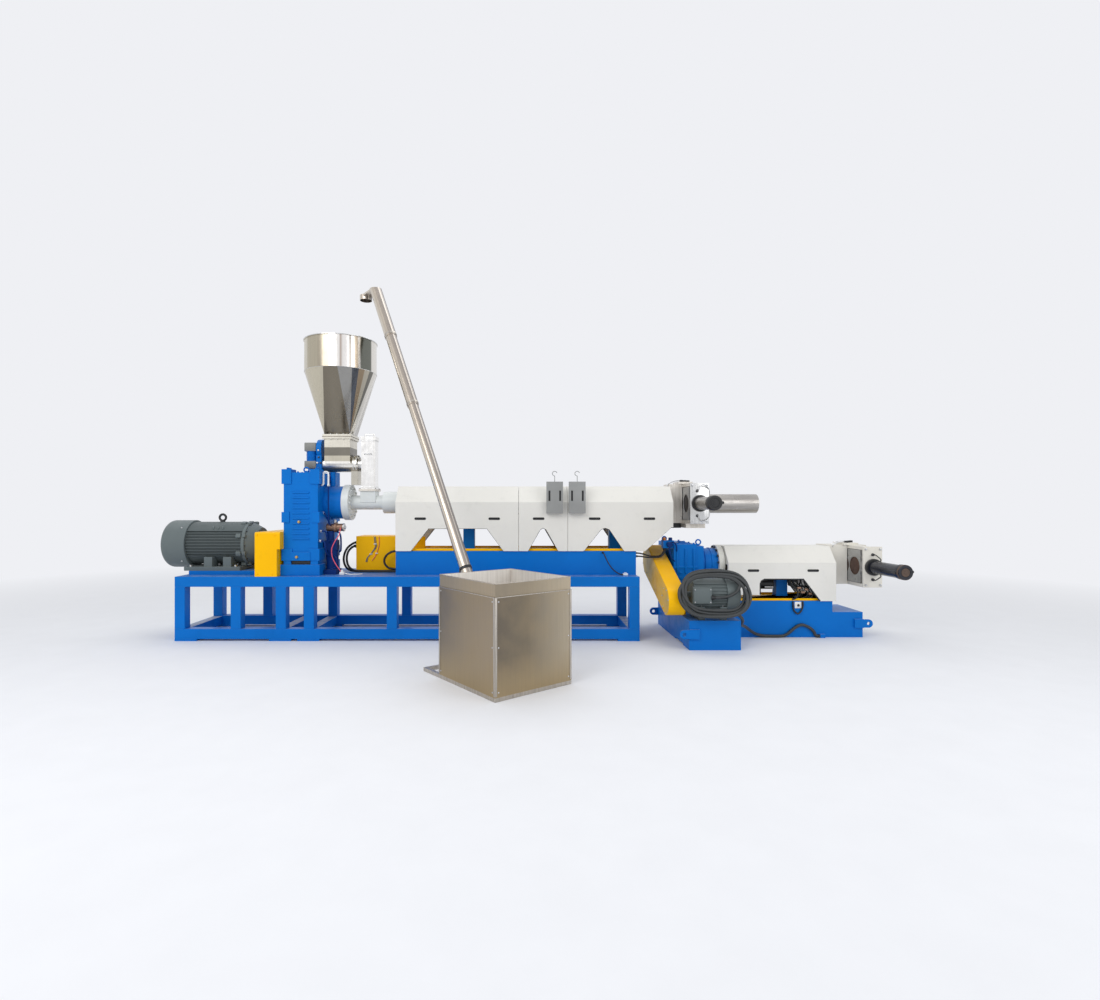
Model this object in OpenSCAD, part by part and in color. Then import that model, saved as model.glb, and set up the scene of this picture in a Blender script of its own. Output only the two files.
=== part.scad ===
// Two-stage plastic extruder with a screw loader, in millimetres.
// The origin is on the floor, in the middle of the long frame. +X runs with the melt, +Z is up,
// and the operator stands on the -Y side.

/* [Long frame] */
// Length of the long frame
frame_l = 5520; // [4900:10:6200]
// Width of the long frame
frame_w = 1000; // [900:10:1200]
// Height of the frame's top face above the floor
frame_h = 764; // [600:2:950]
// Side of the frame's square tube
tube_s = 120; // [80:5:150]
// Thickness of the foot plates
foot_t = 25; // [12:1:40]
// Length of a foot plate
foot_l = 260; // [200:5:320]
// Thickness of the deck plate between the top rails
deck_t = 8; // [4:1:16]
// Radius of the floor bolt holes in the corner feet
floor_hole_r = 11; // [7:0.5:16]

/* [Main motor] */
// Height of the motor's axis above the frame
motor_axis = 366; // [340:2:420]
// Radius of the finned body
motor_r = 276; // [240:2:300]
// Length of the finned body
motor_body_l = 683; // [560:5:800]
// Length of the fan cowl
motor_cowl_l = 307; // [240:5:380]
// Radius of the fan cowl
motor_cowl_r = 296; // [280:2:310]
// Length of the end shield at the drive end
motor_shield_l = 157; // [120:5:200]
// Distance from one cooling fin to the next
fin_pitch = 35; // [26:1:45]
// Thickness of a cooling fin
fin_t = 9; // [6:1:14]
// Thickness of the blue pad under the motor
motor_pad_t = 49; // [30:1:70]
// Thickness of the grey plate on the pad
motor_plate_t = 47; // [30:1:60]

/* [Coupling guard] */
// Length of the coupling guard
guard_l = 301; // [240:1:340]
// Height of the coupling guard
guard_h = 530; // [450:5:600]
// Radius of the guard's top corners
guard_corner_r = 25; // [10:1:50]

/* [Main gearbox] */
// Place of the gearbox's middle along the frame
gearbox_x = -1304; // [-1400:2:-1200]
// Length of the gearbox case
gearbox_l = 412; // [360:2:480]
// Width of the gearbox case
gearbox_w = 776; // [700:2:860]
// Height of the gearbox case above the pedestal
gearbox_case_h = 1112; // [1060:2:1200]
// Length of the pedestal
pedestal_l = 474; // [430:2:540]
// Height of the pedestal
pedestal_h = 134; // [90:2:170]
// How far blocks and ribs stand out from the case
rib_out = 12; // [6:1:20]
// Length of a cooling rib
rib_l = 200; // [150:5:260]
// Thickness of a cooling rib
rib_t = 16; // [10:1:24]
// Distance from one cooling rib to the next
rib_pitch = 62; // [50:1:80]
// Length of the bell housing
bell_l = 221; // [180:1:280]
// Radius of the bell housing
bell_r = 205; // [185:1:220]
// Length of the barrel flange
barrel_flange_l = 87; // [60:1:110]
// Radius of the barrel flange
barrel_flange_r = 224; // [200:1:260]

/* [Main barrel] */
// Height of the screw axis above the frame
screw_axis = 886; // [860:2:960]
// Length of the bare feed barrel
feed_barrel_l = 403; // [400:1:480]
// Radius of the bare feed barrel
feed_barrel_r = 90; // [70:1:110]
// Place of the feed port along the bare barrel, from the flange
port_at = 218; // [170:1:260]
// Size of the feed port's block along the barrel
port_l = 190; // [180:1:240]
// Width of the feed port's block
port_w = 200; // [196:1:240]
// Height of the feed port's block above the screw axis
port_h = 154; // [140:1:180]
// Length of the collar between the feed barrel and the covers
collar_l = 209; // [160:1:260]
// Radius of the collar
collar_r = 138; // [120:1:160]
// Radius of the heated barrel under the covers
hot_barrel_r = 110; // [90:1:125]
// Thickness of the heater jackets around the heated barrels
jacket_t = 38; // [20:1:45]
// Radius of the screw bore through the outlet
screw_bore_r = 60; // [40:1:70]

/* [Covers and bench] */
// Length of the first cover
cover_1_l = 1497; // [1400:1:1600]
// Length of the second cover
cover_2_l = 595; // [550:1:700]
// Length of the third cover at the level of the screw
cover_3_l = 1282; // [1200:1:1400]
// Gap between two covers
cover_gap = 4; // [2:1:8]
// Half of the covers' width
cover_half_w = 320; // [300:1:360]
// Height of the covers above the bench
cover_h = 794; // [760:2:840]
// Height of the fold where the shoulders start, above the bench
cover_fold_h = 596; // [560:2:640]
// Half of the width of the covers' flat top
cover_top_half_w = 150; // [110:2:190]
// Thickness of the covers' sheet
sheet_t = 5; // [3:1:8]
// Width of the lip that stands on the bench
cover_lip_w = 34; // [30:1:36]
// Width of the strips beside the opening in a cover's end wall
cover_leg_w = 39; // [37:1:90]
// Height of the cut-outs above the bench
cutout_h = 275; // [200:5:300]
// Length of the bench
bench_l = 2932; // [2800:2:3100]
// Width of the bench
bench_w = 600; // [580:2:620]
// Height of the bench above the frame
bench_h = 291; // [250:1:340]
// Height of the drip tray's edge
tray_edge_h = 28; // [15:1:40]
// Depth of the blowers' axes under the screw axis
blower_drop = 260; // [245:1:300]
// Radius of the blowers
blower_r = 72; // [55:1:80]
// Side of a barrel post along the barrel
post_l = 141; // [100:1:180]
// Width of a barrel post
post_w = 120; // [90:5:160]

/* [Hanging boxes] */
// Width of a hanging box
hang_box_w = 198; // [160:1:230]
// Height of a hanging box
hang_box_h = 383; // [340:1:400]
// Depth of a hanging box
hang_box_d = 78; // [50:1:100]
// Distance from one hanging box to the next
hang_box_pitch = 272; // [260:1:320]

/* [Deck box] */
// Length of the yellow box on the deck
deck_box_l = 572; // [450:2:600]
// Depth of the yellow box on the deck
deck_box_d = 380; // [300:2:420]
// Height of the yellow box on the deck
deck_box_h = 454; // [380:2:520]

/* [Hopper] */
// Place of the hopper's middle along the frame
hopper_x = -937; // [-950:1:-920]
// Radius of the hopper's drum
hopper_r = 441; // [400:1:480]
// Height of the drum
hopper_drum_h = 395; // [300:1:500]
// Height of the round-to-square cone
hopper_cone_h = 783; // [700:1:900]
// Side of the square at the cone's foot
hopper_neck = 319; // [300:1:340]
// Side of the neck's flange
neck_flange = 355; // [345:1:380]
// Thickness of the neck's flange
neck_flange_t = 59; // [30:1:70]
// Height of the square throat under the flange
throat_h = 305; // [270:1:330]
// Thickness of the hopper's sheet
hopper_t = 5; // [3:1:8]
// Height of the feeder trough's axis above the screw axis
trough_axis = 480; // [470:1:520]
// Radius of the feeder trough
trough_r = 95; // [80:1:110]
// Radius of the feeder's cross tube
cross_tube_r = 75; // [55:1:76]
// Side of the feed column along the barrel
column_l = 175; // [150:1:190]
// Width of the feed column
column_w = 160; // [140:1:190]
// Height of the feed column
column_h = 597; // [560:1:640]
// Height of the column's foot on the feed port
column_foot_h = 34; // [20:1:50]
// Height of the flat lid on the column
column_lid_h = 45; // [20:1:60]

/* [Screen changers] */
// Height of a changer's plates
changer_h = 490; // [460:2:560]
// Width of the cylinder's mounting plate
mount_plate_w = 224; // [200:2:260]
// Thickness of the cylinder's mounting plate
mount_plate_t = 30; // [20:1:40]
// Thickness of the slide plate
slide_t = 60; // [40:1:70]
// Height of the slide plate
slide_h = 400; // [360:2:420]
// Running gap around the slide plate
slide_gap = 5; // [5:0.5:8]
// Radius of a screen in the slide plate
port_r = 110; // [80:1:112]
// Stroke of the slide plate, from one port to the other
slide_stroke = 235; // [225:1:238]
// Radius of the piston rod
piston_rod_r = 28; // [20:1:35]
// Radius of the hydraulic cylinders
cylinder_r = 76; // [65:1:85]
// Length of the first hydraulic cylinder
cylinder_1_l = 540; // [480:5:640]
// Length of the second hydraulic cylinder
cylinder_2_l = 580; // [480:5:640]
// Length of the discharge tube
discharge_l = 716; // [600:2:900]
// Outer radius of the discharge tube
discharge_r = 120; // [110:1:140]

/* [Second stage] */
// Gap from the end of the first stage's frame or bench to the second stage's base
stage_2_gap = 460; // [400:5:640]
// Width of the cross base under the motor, along the line
platform_l = 574; // [560:2:640]
// Height of the cross base
platform_h = 330; // [280:2:380]
// Front end of the cross base, in front of the screw axis
platform_front = 954; // [940:2:1040]
// Rear end of the cross base, behind the screw axis
platform_rear = 560; // [540:2:620]
// Length of the high part of the long base
base_high_l = 1363; // [1340:1:1500]
// Height of the high part of the long base
base_high_h = 445; // [400:1:480]
// Length of the low step at the end
base_low_l = 370; // [300:2:450]
// Height of the low step
base_low_h = 309; // [260:1:340]
// Width of the long base
base_w = 580; // [560:2:600]
// Height of the second screw axis above the floor
axis_2 = 885; // [870:1:940]
// Radius of the lifting lugs' holes
lug_hole_r = 20; // [12:1:26]
// Thickness of the lifting lugs
lug_t = 25; // [16:1:40]
// Length of the second gearbox's case
gearbox_2_l = 369; // [350:1:380]
// Height of the second gearbox's top above the screw axis
gearbox_2_top = 251; // [240:1:280]
// Height of the second gearbox's bottom below the screw axis
gearbox_2_drop = 235; // [230:1:260]
// Radius of the output bearing housing
bearing_2_r = 185; // [160:1:200]
// Length of the output bearing housing
bearing_2_l = 203; // [150:1:230]
// Radius of the second barrel's flange
flange_2_r = 228; // [215:1:250]
// Length of the second barrel's flange
flange_2_l = 80; // [72:1:120]
// Length of the fourth cover
cover_4_l = 1313; // [1280:1:1400]
// Height of the fourth cover
cover_4_h = 661; // [630:1:700]
// Height of its fold above the base
cover_4_fold_h = 467; // [440:1:500]
// Half of its width
cover_4_half_w = 310; // [300:1:340]

/* [Second motor] */
// Radius of the second motor
motor_2_r = 200; // [180:1:215]
// Length of the second motor's body
motor_2_body_l = 364; // [320:2:420]
// Length of the second motor's fan cowl
motor_2_cowl_l = 142; // [100:2:170]
// Distance of the second motor's axis in front of the screw axis
motor_2_front = 740; // [730:1:780]
// Height of the second motor's axis above its base
motor_2_axis = 265; // [250:1:300]
// Thickness of the belt guard
belt_guard_t = 193; // [150:1:220]
// Radius of the belt guard's low end
belt_guard_low_r = 165; // [140:1:180]
// Radius of the belt guard's high end
belt_guard_high_r = 195; // [170:1:210]

/* [Screw loader] */
// Size of the bin along its right-hand side
bin_u = 840; // [760:5:900]
// Size of the bin along its left-hand side
bin_v = 900; // [820:5:960]
// Height of the bin's rim above the floor
bin_h = 965; // [900:5:1020]
// Height of the bin's collar
bin_collar_h = 119; // [90:1:150]
// Thickness of the bin's sheet
bin_t = 5; // [3:1:8]
// Side of the loader base's tube
loader_tube_s = 35; // [25:1:50]
// Length of the loader base along the bin's left-hand side
loader_base_l = 1200; // [1100:5:1300]
// Slope of the loading tube above the floor, in degrees
loader_slope = 57.9; // [56:0.1:60]
// Radius of the lowest length of the loading tube
loader_tube_r = 58; // [50:1:62]
// Growth in radius from one length of the loading tube to the next
loader_tube_step = 7; // [4:1:10]
// Height of the flat top of the loading tube
loader_top = 4360; // [4300:5:4450]
// Radius of the outlet spout
spout_r = 78; // [68:1:90]

/* [Hidden] */
$fn = 64;

// The gap that a seated piece keeps to its seat
seat = 0.3;

// Heights
z_frame = frame_h;
z_motor = z_frame + motor_axis;
z_screw = z_frame + screw_axis;
z_bench = z_frame + bench_h;
z_case = z_frame + pedestal_h;
z_case_top = z_case + gearbox_case_h;
z_trough = z_screw + trough_axis;
z_throat_top = z_trough + throat_h + 5;
z_neck = z_throat_top + neck_flange_t;
z_drum = z_neck + hopper_cone_h;
z_port_top = z_screw + port_h;
z_column = z_port_top + column_foot_h;

// Places along the line, from the main gearbox outwards
x_case_0 = gearbox_x - gearbox_l / 2;
x_case_1 = gearbox_x + gearbox_l / 2;
x_guard_1 = x_case_0;
x_guard_0 = x_guard_1 - guard_l;
x_shield_1 = x_guard_0 - 119;
x_body_1 = x_shield_1 - motor_shield_l;
x_body_0 = x_body_1 - motor_body_l;
x_cowl_0 = x_body_0 - motor_cowl_l;
x_bell_1 = x_case_1 + bell_l;
x_flange_1 = x_bell_1 + barrel_flange_l;
x_port = x_flange_1 + port_at;
x_pedestal_0 = gearbox_x - 6 - pedestal_l / 2;
x_pedestal_1 = gearbox_x - 6 + pedestal_l / 2;
x_barrel_1 = x_flange_1 + feed_barrel_l;
x_cover_0 = x_barrel_1 + collar_l;
x_cover_2 = x_cover_0 + cover_1_l + cover_gap;
x_cover_3 = x_cover_2 + cover_2_l + cover_gap;
x_cover_end = x_cover_3 + cover_3_l;
x_changer_1 = x_cover_end + 176;

// Top of the gearbox case's lowest blocks above the pedestal
low_block_top = 190;
// How far the bell housing's rim stands out
bell_rim = 14;

// Frame
frame_x0 = -frame_l / 2;
frame_x1 = frame_l / 2;
rail_y = frame_w / 2 - tube_s / 2;
leg_x = [
    frame_x0 + tube_s / 2,
    frame_x0 + 724,
    gearbox_x - 197,
    gearbox_x + 137,
    x_cover_0 - 5,
    x_cover_0 + bench_l / 2 - 39,
    frame_x1 - tube_s / 2
];
cross_legs = [0, 2, 3, 6];
foot_x = [frame_x0, leg_x[2] - foot_l + 121, leg_x[3] - 137, leg_x[5] - foot_l / 2, frame_x1 - foot_l];
bolt_in = 120;

// Second stage, from its gearbox outwards
stage_2_x = max(frame_x1, x_cover_0 + bench_l) + stage_2_gap;
x2_case_0 = stage_2_x + 7;
x2_case_1 = x2_case_0 + gearbox_2_l;
x2_bearing_1 = x2_case_1 + bearing_2_l;
x2_flange_1 = x2_bearing_1 + flange_2_l;
x2_cover_1 = x2_flange_1 + cover_4_l;
x2_box_0 = stage_2_x + platform_l;
x2_step = x2_box_0 + base_high_l;
x2_box_1 = x2_step + base_low_l;
x_changer_2 = x2_cover_1 + 264;
case_2_front = 260;
case_2_rear = 560;
input_2_rear = 270;
z2_motor = platform_h + motor_2_axis;
x2_motor_0 = stage_2_x + 70;
x2_guard_1 = stage_2_x - 37;
x2_guard_0 = x2_guard_1 - belt_guard_t;

// Places of the posts and blowers under the barrels, from the end of the collar or flange
post_at = [800, 2640];
blower_at = [480, 1240, 1780, 2430];
post_2_at = 690;
blower_2_at = 520;

// Changers: sizes around the slide plate
changer_front = 80;
changer_rear = 200;
changer_after = 235;
changer_drop = 14;
tie_w = 90;
rod_x = mount_plate_w / 2;
crosshead_y = slide_stroke + port_r + 15;
crosshead_t = 35;
crosshead_h = 120;
mount_plate_y = crosshead_y + crosshead_t + slide_gap + mount_plate_t;
slide_rear = port_r + 70;
rod_l = 330;
screen_in = 14;

// Loader: its own axes, turned about the near corner of the bin
bin_corner = [1146, -2720];
bin_turn = 38;
loader_u = 376;
loader_v = bin_v + 120;
loader_s0 = -1010;
loader_joints = [2090, 3160];
spout_ahead = 300;
spout_drop = 65;

// Cables: radii and routes
cable_r = 18;
deck_cable_r = 14;
bench_cable_r = 7;
link_cable_r = 9;
gland_l = 20;
coil_centre = [3481, -985.3, 635.4];
coil_tilt = 20;
coil_r = 292;
coil_straight = 262;
coil_band = 132;
coil_t = 76;
lead_route = [
    [3481.3, -960, 585], [3494, -960, 585], [3522, -962, 585], [3562, -967, 588], [3620, -973, 596], [3675, -976, 614],
    [3722, -975, 642], [3752, -972, 664]
];
floor_route = [
    [3671, -997.4, 437.4], [3700, -996, 430], [3735, -985, 412], [3772, -970, 386], [3806, -944, 354],
    [3828, -907, 318], [3840, -860, 288], [3858, -790, 256], [3900, -700, 228], [3960, -610, 200],
    [4030, -500, 160], [4090, -410, 120], [4160, -345, 75], [4223, -316, 42], [4300, -310, 24],
    [4400, -309, 19], [4500, -309, 19], [4560, -309, 27], [4620, -309, 62], [4690, -309, 122],
    [4763, -309, 156], [4832, -309, 140], [4895, -309, 100], [4926, -309, 62], [4936, -309, 36], [4958, -309, 22], [4976, -309, 20], [4989.7, -309, 20]
];
deck_routes = [
    [
        [-784.3, 180, 1130], [-796, 180, 1130], [-820, 176, 1126], [-852, 168, 1108], [-900, 156, 1065], [-932, 142, 1000],
        [-942, 126, 930], [-928, 108, 865], [-890, 80, 812], [-835, 58, 784], [-770, 44, 779],
        [-690, 34, 779], [-600, 26, 779], [-500, 20, 779], [-400, 14, 779], [-300, 12, 779],
        [-250, 12, 779], [-198.3, 12, 779]
    ],
    [
        [-784.3, 130, 1088], [-796, 130, 1088], [-816, 127, 1082], [-844, 120, 1064], [-878, 110, 1018], [-892, 95, 955],
        [-884, 76, 890], [-858, 52, 838], [-810, 24, 800], [-745, -3, 780], [-640, -18, 779],
        [-500, -24, 779], [-400, -26, 779], [-300, -27, 779], [-250, -28, 779], [-198.3, -28, 779]
    ],
    [
        [-198.3, -40, 1034], [-212, -40, 1034], [-244, -40, 1033], [-290, -41, 1023], [-340, -42, 992], [-372, -42, 946],
        [-378, -40, 898], [-358, -38, 852], [-318, -34, 820], [-262, -29, 809], [-214, -28, 808], [-198.3, -28, 808]
    ]
];

bench_route = [
    [2350, -320.3, 1035], [2350.5, -328, 1034.5], [2353, -342, 1030], [2358, -354, 1019], [2364, -360, 1003],
    [2374, -362, 980], [2388, -362, 950], [2404, -360, 920], [2423, -358, 889], [2445, -356, 859],
    [2470, -354, 832], [2497, -353, 809], [2524, -352, 791], [2550, -352, 779], [2572, -352, 773.5], [2589.7, -352, 772]
];
link_routes = [
    [
        [2774.3, -222, 985], [2788, -222, 985], [2818, -222, 984], [2852, -222, 980], [2888, -222, 974],
        [2926, -222, 970], [2962, -222, 968], [2996, -222, 968.5], [3030, -222, 971], [3062.5, -222, 976.7],
        [3091.1, -222, 993.2], [3112.3, -222, 1018.5], [3124.6, -222, 1050], [3125, -222, 1065]
    ],
    [
        [2774.3, -168, 1020], [2788, -168, 1020], [2818, -168, 1018], [2852, -168, 1011], [2888, -168, 1001],
        [2926, -168, 990], [2964, -168, 982], [3004, -168, 979.5], [3040, -168, 981], [3069.1, -168, 986.1],
        [3094.6, -168, 1000.9], [3113.6, -168, 1023.5], [3124.6, -168, 1050], [3125, -168, 1065]
    ]
];

// A box between two corners
module box_at(low, high) {
    translate(low)
        cube(high - low);
}

// A round bar along X, Y or Z
module bar_x(x0, x1, y, z, r) {
    translate([x0, y, z])
        rotate([0, 90, 0])
            cylinder(h = x1 - x0, r = r);
}

module bar_y(y0, y1, x, z, r) {
    translate([x, y0, z])
        rotate([-90, 0, 0])
            cylinder(h = y1 - y0, r = r);
}

module bar_z(z0, z1, x, y, r) {
    translate([x, y, z0])
        cylinder(h = z1 - z0, r = r);
}

// A plate with an outline in X and Z, from y0 to y1
module plate_xz(points, y0, y1) {
    translate([0, y1, 0])
        rotate([90, 0, 0])
            linear_extrude(y1 - y0)
                polygon(points);
}

// A bar with an outline in Y and Z, from x0 to x1
module profile_yz(points, x0, x1) {
    translate([x0, 0, 0])
        rotate([90, 0, 90])
            linear_extrude(x1 - x0)
                polygon(points);
}

// A lifting eye that stands on a face
module eye_bolt(x, y, z, r, wire) {
    bar_z(z, z + wire * 2, x, y, wire * 1.5);
    translate([x, y, z + wire * 1.5 + r])
        rotate([90, 0, 0])
            rotate_extrude()
                translate([r, 0])
                    circle(wire);
}

module frame_rails() {
    color("royalblue")
        for (side = [-1, 1], z = [foot_t, z_frame - tube_s])
            box_at([frame_x0, side * rail_y - tube_s / 2, z],
                   [frame_x1, side * rail_y + tube_s / 2, z + tube_s]);
}

module frame_legs() {
    color("royalblue")
        for (side = [-1, 1], x = leg_x)
            box_at([x - tube_s / 2, side * rail_y - tube_s / 2, foot_t + tube_s],
                   [x + tube_s / 2, side * rail_y + tube_s / 2, z_frame - tube_s]);
}

module frame_cross_rails() {
    color("royalblue")
        for (i = cross_legs, z = [foot_t, z_frame - tube_s])
            box_at([leg_x[i] - tube_s / 2, -rail_y + tube_s / 2, z],
                   [leg_x[i] + tube_s / 2, rail_y - tube_s / 2, z + tube_s - deck_t]);
}

module frame_feet() {
    color("royalblue")
        for (side = [-1, 1], i = [0 : len(foot_x) - 1])
            difference() {
                box_at([foot_x[i], side * rail_y - tube_s / 2, 0],
                       [foot_x[i] + foot_l, side * rail_y + tube_s / 2, foot_t]);
                if (i == 0)
                    bar_z(-1, foot_t + 1, frame_x0 + bolt_in, side * rail_y, floor_hole_r);
                if (i == len(foot_x) - 1)
                    bar_z(-1, foot_t + 1, frame_x1 - bolt_in, side * rail_y, floor_hole_r);
            }
}

module frame_deck() {
    color("royalblue")
        box_at([frame_x0 + 5, -rail_y + tube_s / 2, z_frame - deck_t],
               [frame_x1 - 5, rail_y - tube_s / 2, z_frame]);
    // The socket of the cable over the bench
    color("white")
        box_at([2590, -374, z_frame - 2], [2640, -330, z_frame + 30]);
}

module motor_pad() {
    color("royalblue")
        box_at([x_body_0 + 65, -300, z_frame],
               [x_shield_1 + 75, 300, z_frame + motor_pad_t]);
}

module motor_plate() {
    z0 = z_frame + motor_pad_t;
    z1 = z0 + motor_plate_t;
    color("dimgray") {
        box_at([x_body_0, -290, z0], [x_body_1, 290, z1]);
        for (side = [-1, 1], x = [x_body_0 + 235, x_body_0 + 468])
            difference() {
                box_at([x, side == -1 ? -272 : 120, z1], [x + 100, side == -1 ? -120 : 272, z_motor - 150]);
                bar_x(x - 1, x + 101, 0, z_motor, motor_r - 22);
            }
    }
}

module motor_body() {
    fins = floor(150 / fin_pitch);
    color("dimgray") {
        bar_x(x_body_0, x_body_1, 0, z_motor, motor_r - 22);
        intersection() {
            bar_x(x_body_0, x_body_1, 0, z_motor, motor_r);
            union() {
                for (i = [-fins : fins])
                    box_at([x_body_0, -motor_r, z_motor + i * fin_pitch - fin_t / 2],
                           [x_body_1, motor_r, z_motor + i * fin_pitch + fin_t / 2]);
                box_at([x_body_0, -motor_r, z_motor + 165], [x_body_1, motor_r, z_motor + motor_r]);
            }
        }
        eye_bolt(x_body_0 + 330, 0, z_motor + motor_r - 4, 38, 12);
    }
}

module motor_cowl() {
    color("dimgray")
        translate([x_cowl_0, 0, z_motor])
            rotate([0, 90, 0])
                rotate_extrude()
                    difference() {
                        union() {
                            square([motor_cowl_r - 60, motor_cowl_l]);
                            translate([0, 60])
                                square([motor_cowl_r, motor_cowl_l - 60]);
                            translate([motor_cowl_r - 60, 60])
                                circle(60);
                        }
                        translate([-motor_cowl_r, 0])
                            square([motor_cowl_r, motor_cowl_l]);
                    }
}

module motor_end_shield() {
    color("dimgray") {
        bar_x(x_body_1, x_body_1 + 40, 0, z_motor, motor_r);
        translate([x_body_1 + 40, 0, z_motor])
            rotate([0, 90, 0])
                cylinder(h = motor_shield_l - 40, r1 = motor_r - 15, r2 = motor_r - 75);
        bar_x(x_shield_1, x_guard_0, 0, z_motor, 48);
    }
}

module coupling_guard() {
    z1 = z_frame + guard_h;
    r = guard_corner_r;
    w = frame_w / 2;
    color("gold")
        difference() {
            profile_yz([
                [-w, z_frame], [w, z_frame], [w, z1 - r],
                for (a = [15 : 15 : 75]) [w - r + r * cos(a), z1 - r + r * sin(a)],
                [w - r, z1], [-w + r, z1],
                for (a = [105 : 15 : 165]) [-w + r + r * cos(a), z1 - r + r * sin(a)],
                [-w, z1 - r]
            ], x_guard_0, x_guard_1);
            box_at([x_pedestal_0 - seat, -w - 1, z_frame - 1], [x_guard_1 + 1, w + 1, z_case + low_block_top + seat]);
        }
}

module gearbox_pedestal() {
    half = gearbox_w / 2 + rib_out;
    color("royalblue")
        box_at([x_pedestal_0, -half, z_frame], [x_pedestal_1, half, z_case]);
}

// A pair of blocks at the ends of the case, for one band of heights
module case_blocks(z0, z1, w) {
    out = rib_out + 10;
    for (x0 = [x_case_0 - out, x_case_1 + out - w])
        box_at([x0, -gearbox_w / 2 - rib_out, z0], [x0 + w, gearbox_w / 2 + rib_out, z1]);
}

module gearbox_case() {
    half = gearbox_w / 2;
    rib_tops = [for (i = [0 : 9]) z_case_top - 243 - i * rib_pitch];
    color("royalblue")
        difference() {
            union() {
                box_at([x_case_0, -half, z_case], [x_case_1, half, z_case_top]);
                case_blocks(z_case_top - 140, z_case_top, 116);
                difference() {
                    case_blocks(z_case_top - 1, z_case_top + 38, 116);
                    box_at([x_case_0 - 100, -half + 150, z_case_top], [x_case_1 + 100, half - 150, z_case_top + 39]);
                }
                case_blocks(z_case + 506, z_case + 634, 92);
                case_blocks(z_case + 49, z_case + low_block_top, 130);
                box_at([gearbox_x - 118, -half - rib_out - 8, z_case + 49],
                       [gearbox_x + 118, half + rib_out + 8, z_case + 150]);
                for (z = rib_tops, x0 = [gearbox_x - rib_l / 2])
                    box_at([x0, -half - rib_out, z - rib_t / 2], [x0 + rib_l, half + rib_out, z + rib_t / 2]);
                for (z = rib_tops)
                    if (z - rib_t > z_frame + guard_h)
                    box_at([x_case_0 - rib_out, -half + 130, z - rib_t / 2],
                           [x_case_1, half - 130, z + rib_t / 2]);
            }
            for (side = [-1, 1])
                box_at([gearbox_x - 118, side * half - 60, z_case - 1],
                       [gearbox_x + 118, side * half + 60, z_case + 49]);
            bar_x(x_case_1, x_case_1 + 100, 0, z_screw, bell_r + bell_rim + seat);
        }
}

module bell_housing() {
    color("royalblue") {
        bar_x(x_case_1, x_bell_1, 0, z_screw, bell_r);
        bar_x(x_case_1, x_case_1 + 40, 0, z_screw, bell_r + bell_rim);
        bar_z(z_screw + bell_r - 30, z_trough - trough_r - seat, x_case_1 + 60, 0, 34);
    }
}

// The oil tank, its column and the valve block beside the gearbox
module lube_unit() {
    x = x_pedestal_1;
    color("midnightblue") {
        box_at([x + 6, -270, z_frame], [x + 160, -60, z_frame + 60]);
        bar_z(z_frame + 60, z_frame + 300, x + 80, -165, 74);
        box_at([x + 3, -230, z_frame + 300], [x + 150, -110, z_frame + 420]);
        bar_z(z_frame + 420, z_frame + 530 - seat, x + 60, -170, 46);
        box_at([x_case_1 + seat, -200, z_frame + 330], [x + 3, -140, z_frame + 400]);
    }
}

module lube_pump() {
    x = x_pedestal_1;
    color("sienna") {
        bar_x(x + 15, x + 220, -170, z_frame + 576, 46);
        bar_x(x + 110, x + 140, -170, z_frame + 576, 62);
    }
}

module feed_barrel() {
    half = port_l / 2;
    color("silver")
        difference() {
            union() {
                bar_x(x_bell_1, x_flange_1, 0, z_screw, barrel_flange_r);
                bar_x(x_flange_1, x_barrel_1, 0, z_screw, feed_barrel_r);
                bar_x(x_barrel_1, x_cover_0, 0, z_screw, collar_r);
                box_at([x_port - half, -port_w / 2, z_screw], [x_port + half, port_w / 2, z_port_top]);
            }
            box_at([x_port - 60, -60, z_screw], [x_port + 60, 60, z_port_top + 1]);
        }
}

module heated_barrel() {
    color("dimgray") {
        bar_x(x_cover_0, x_cover_end + cover_gap, 0, z_screw, hot_barrel_r);
        bar_x(x_cover_0 + 60, x_cover_end - 60, 0, z_screw, hot_barrel_r + jacket_t);
        bar_x(x2_flange_1, x2_cover_1 + cover_gap, 0, axis_2, hot_barrel_r);
        bar_x(x2_flange_1 + 60, x2_cover_1 - 60, 0, axis_2, hot_barrel_r + jacket_t);
    }
}

// A post from a tray up to the heater jacket
module barrel_post(x, z0, z_axis) {
    difference() {
        box_at([x, -post_w / 2, z0 + sheet_t], [x + post_l, post_w / 2, z_axis]);
        bar_x(x - 1, x + post_l + 1, 0, z_axis, hot_barrel_r + jacket_t);
    }
}

module barrel_posts() {
    color("royalblue") {
        for (at = post_at)
            barrel_post(x_cover_0 + at, z_bench, z_screw);
        barrel_post(x2_flange_1 + post_2_at, base_high_h, axis_2);
    }
}

// A blower that hangs under the heater jacket
module blower(x, z_axis, z_low) {
    difference() {
        box_at([x - 60, -60, z_low + blower_r], [x + 60, 60, z_axis]);
        bar_x(x - 61, x + 61, 0, z_axis, hot_barrel_r + jacket_t);
    }
    bar_x(x - 130, x + 130, 0, z_low + blower_r, blower_r);
}

module barrel_blowers() {
    color("black") {
        for (at = blower_at)
            blower(x_cover_0 + at, z_screw, z_screw - blower_drop - blower_r);
        blower(x2_flange_1 + blower_2_at, axis_2, axis_2 - blower_drop - blower_r);
    }
}

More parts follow.
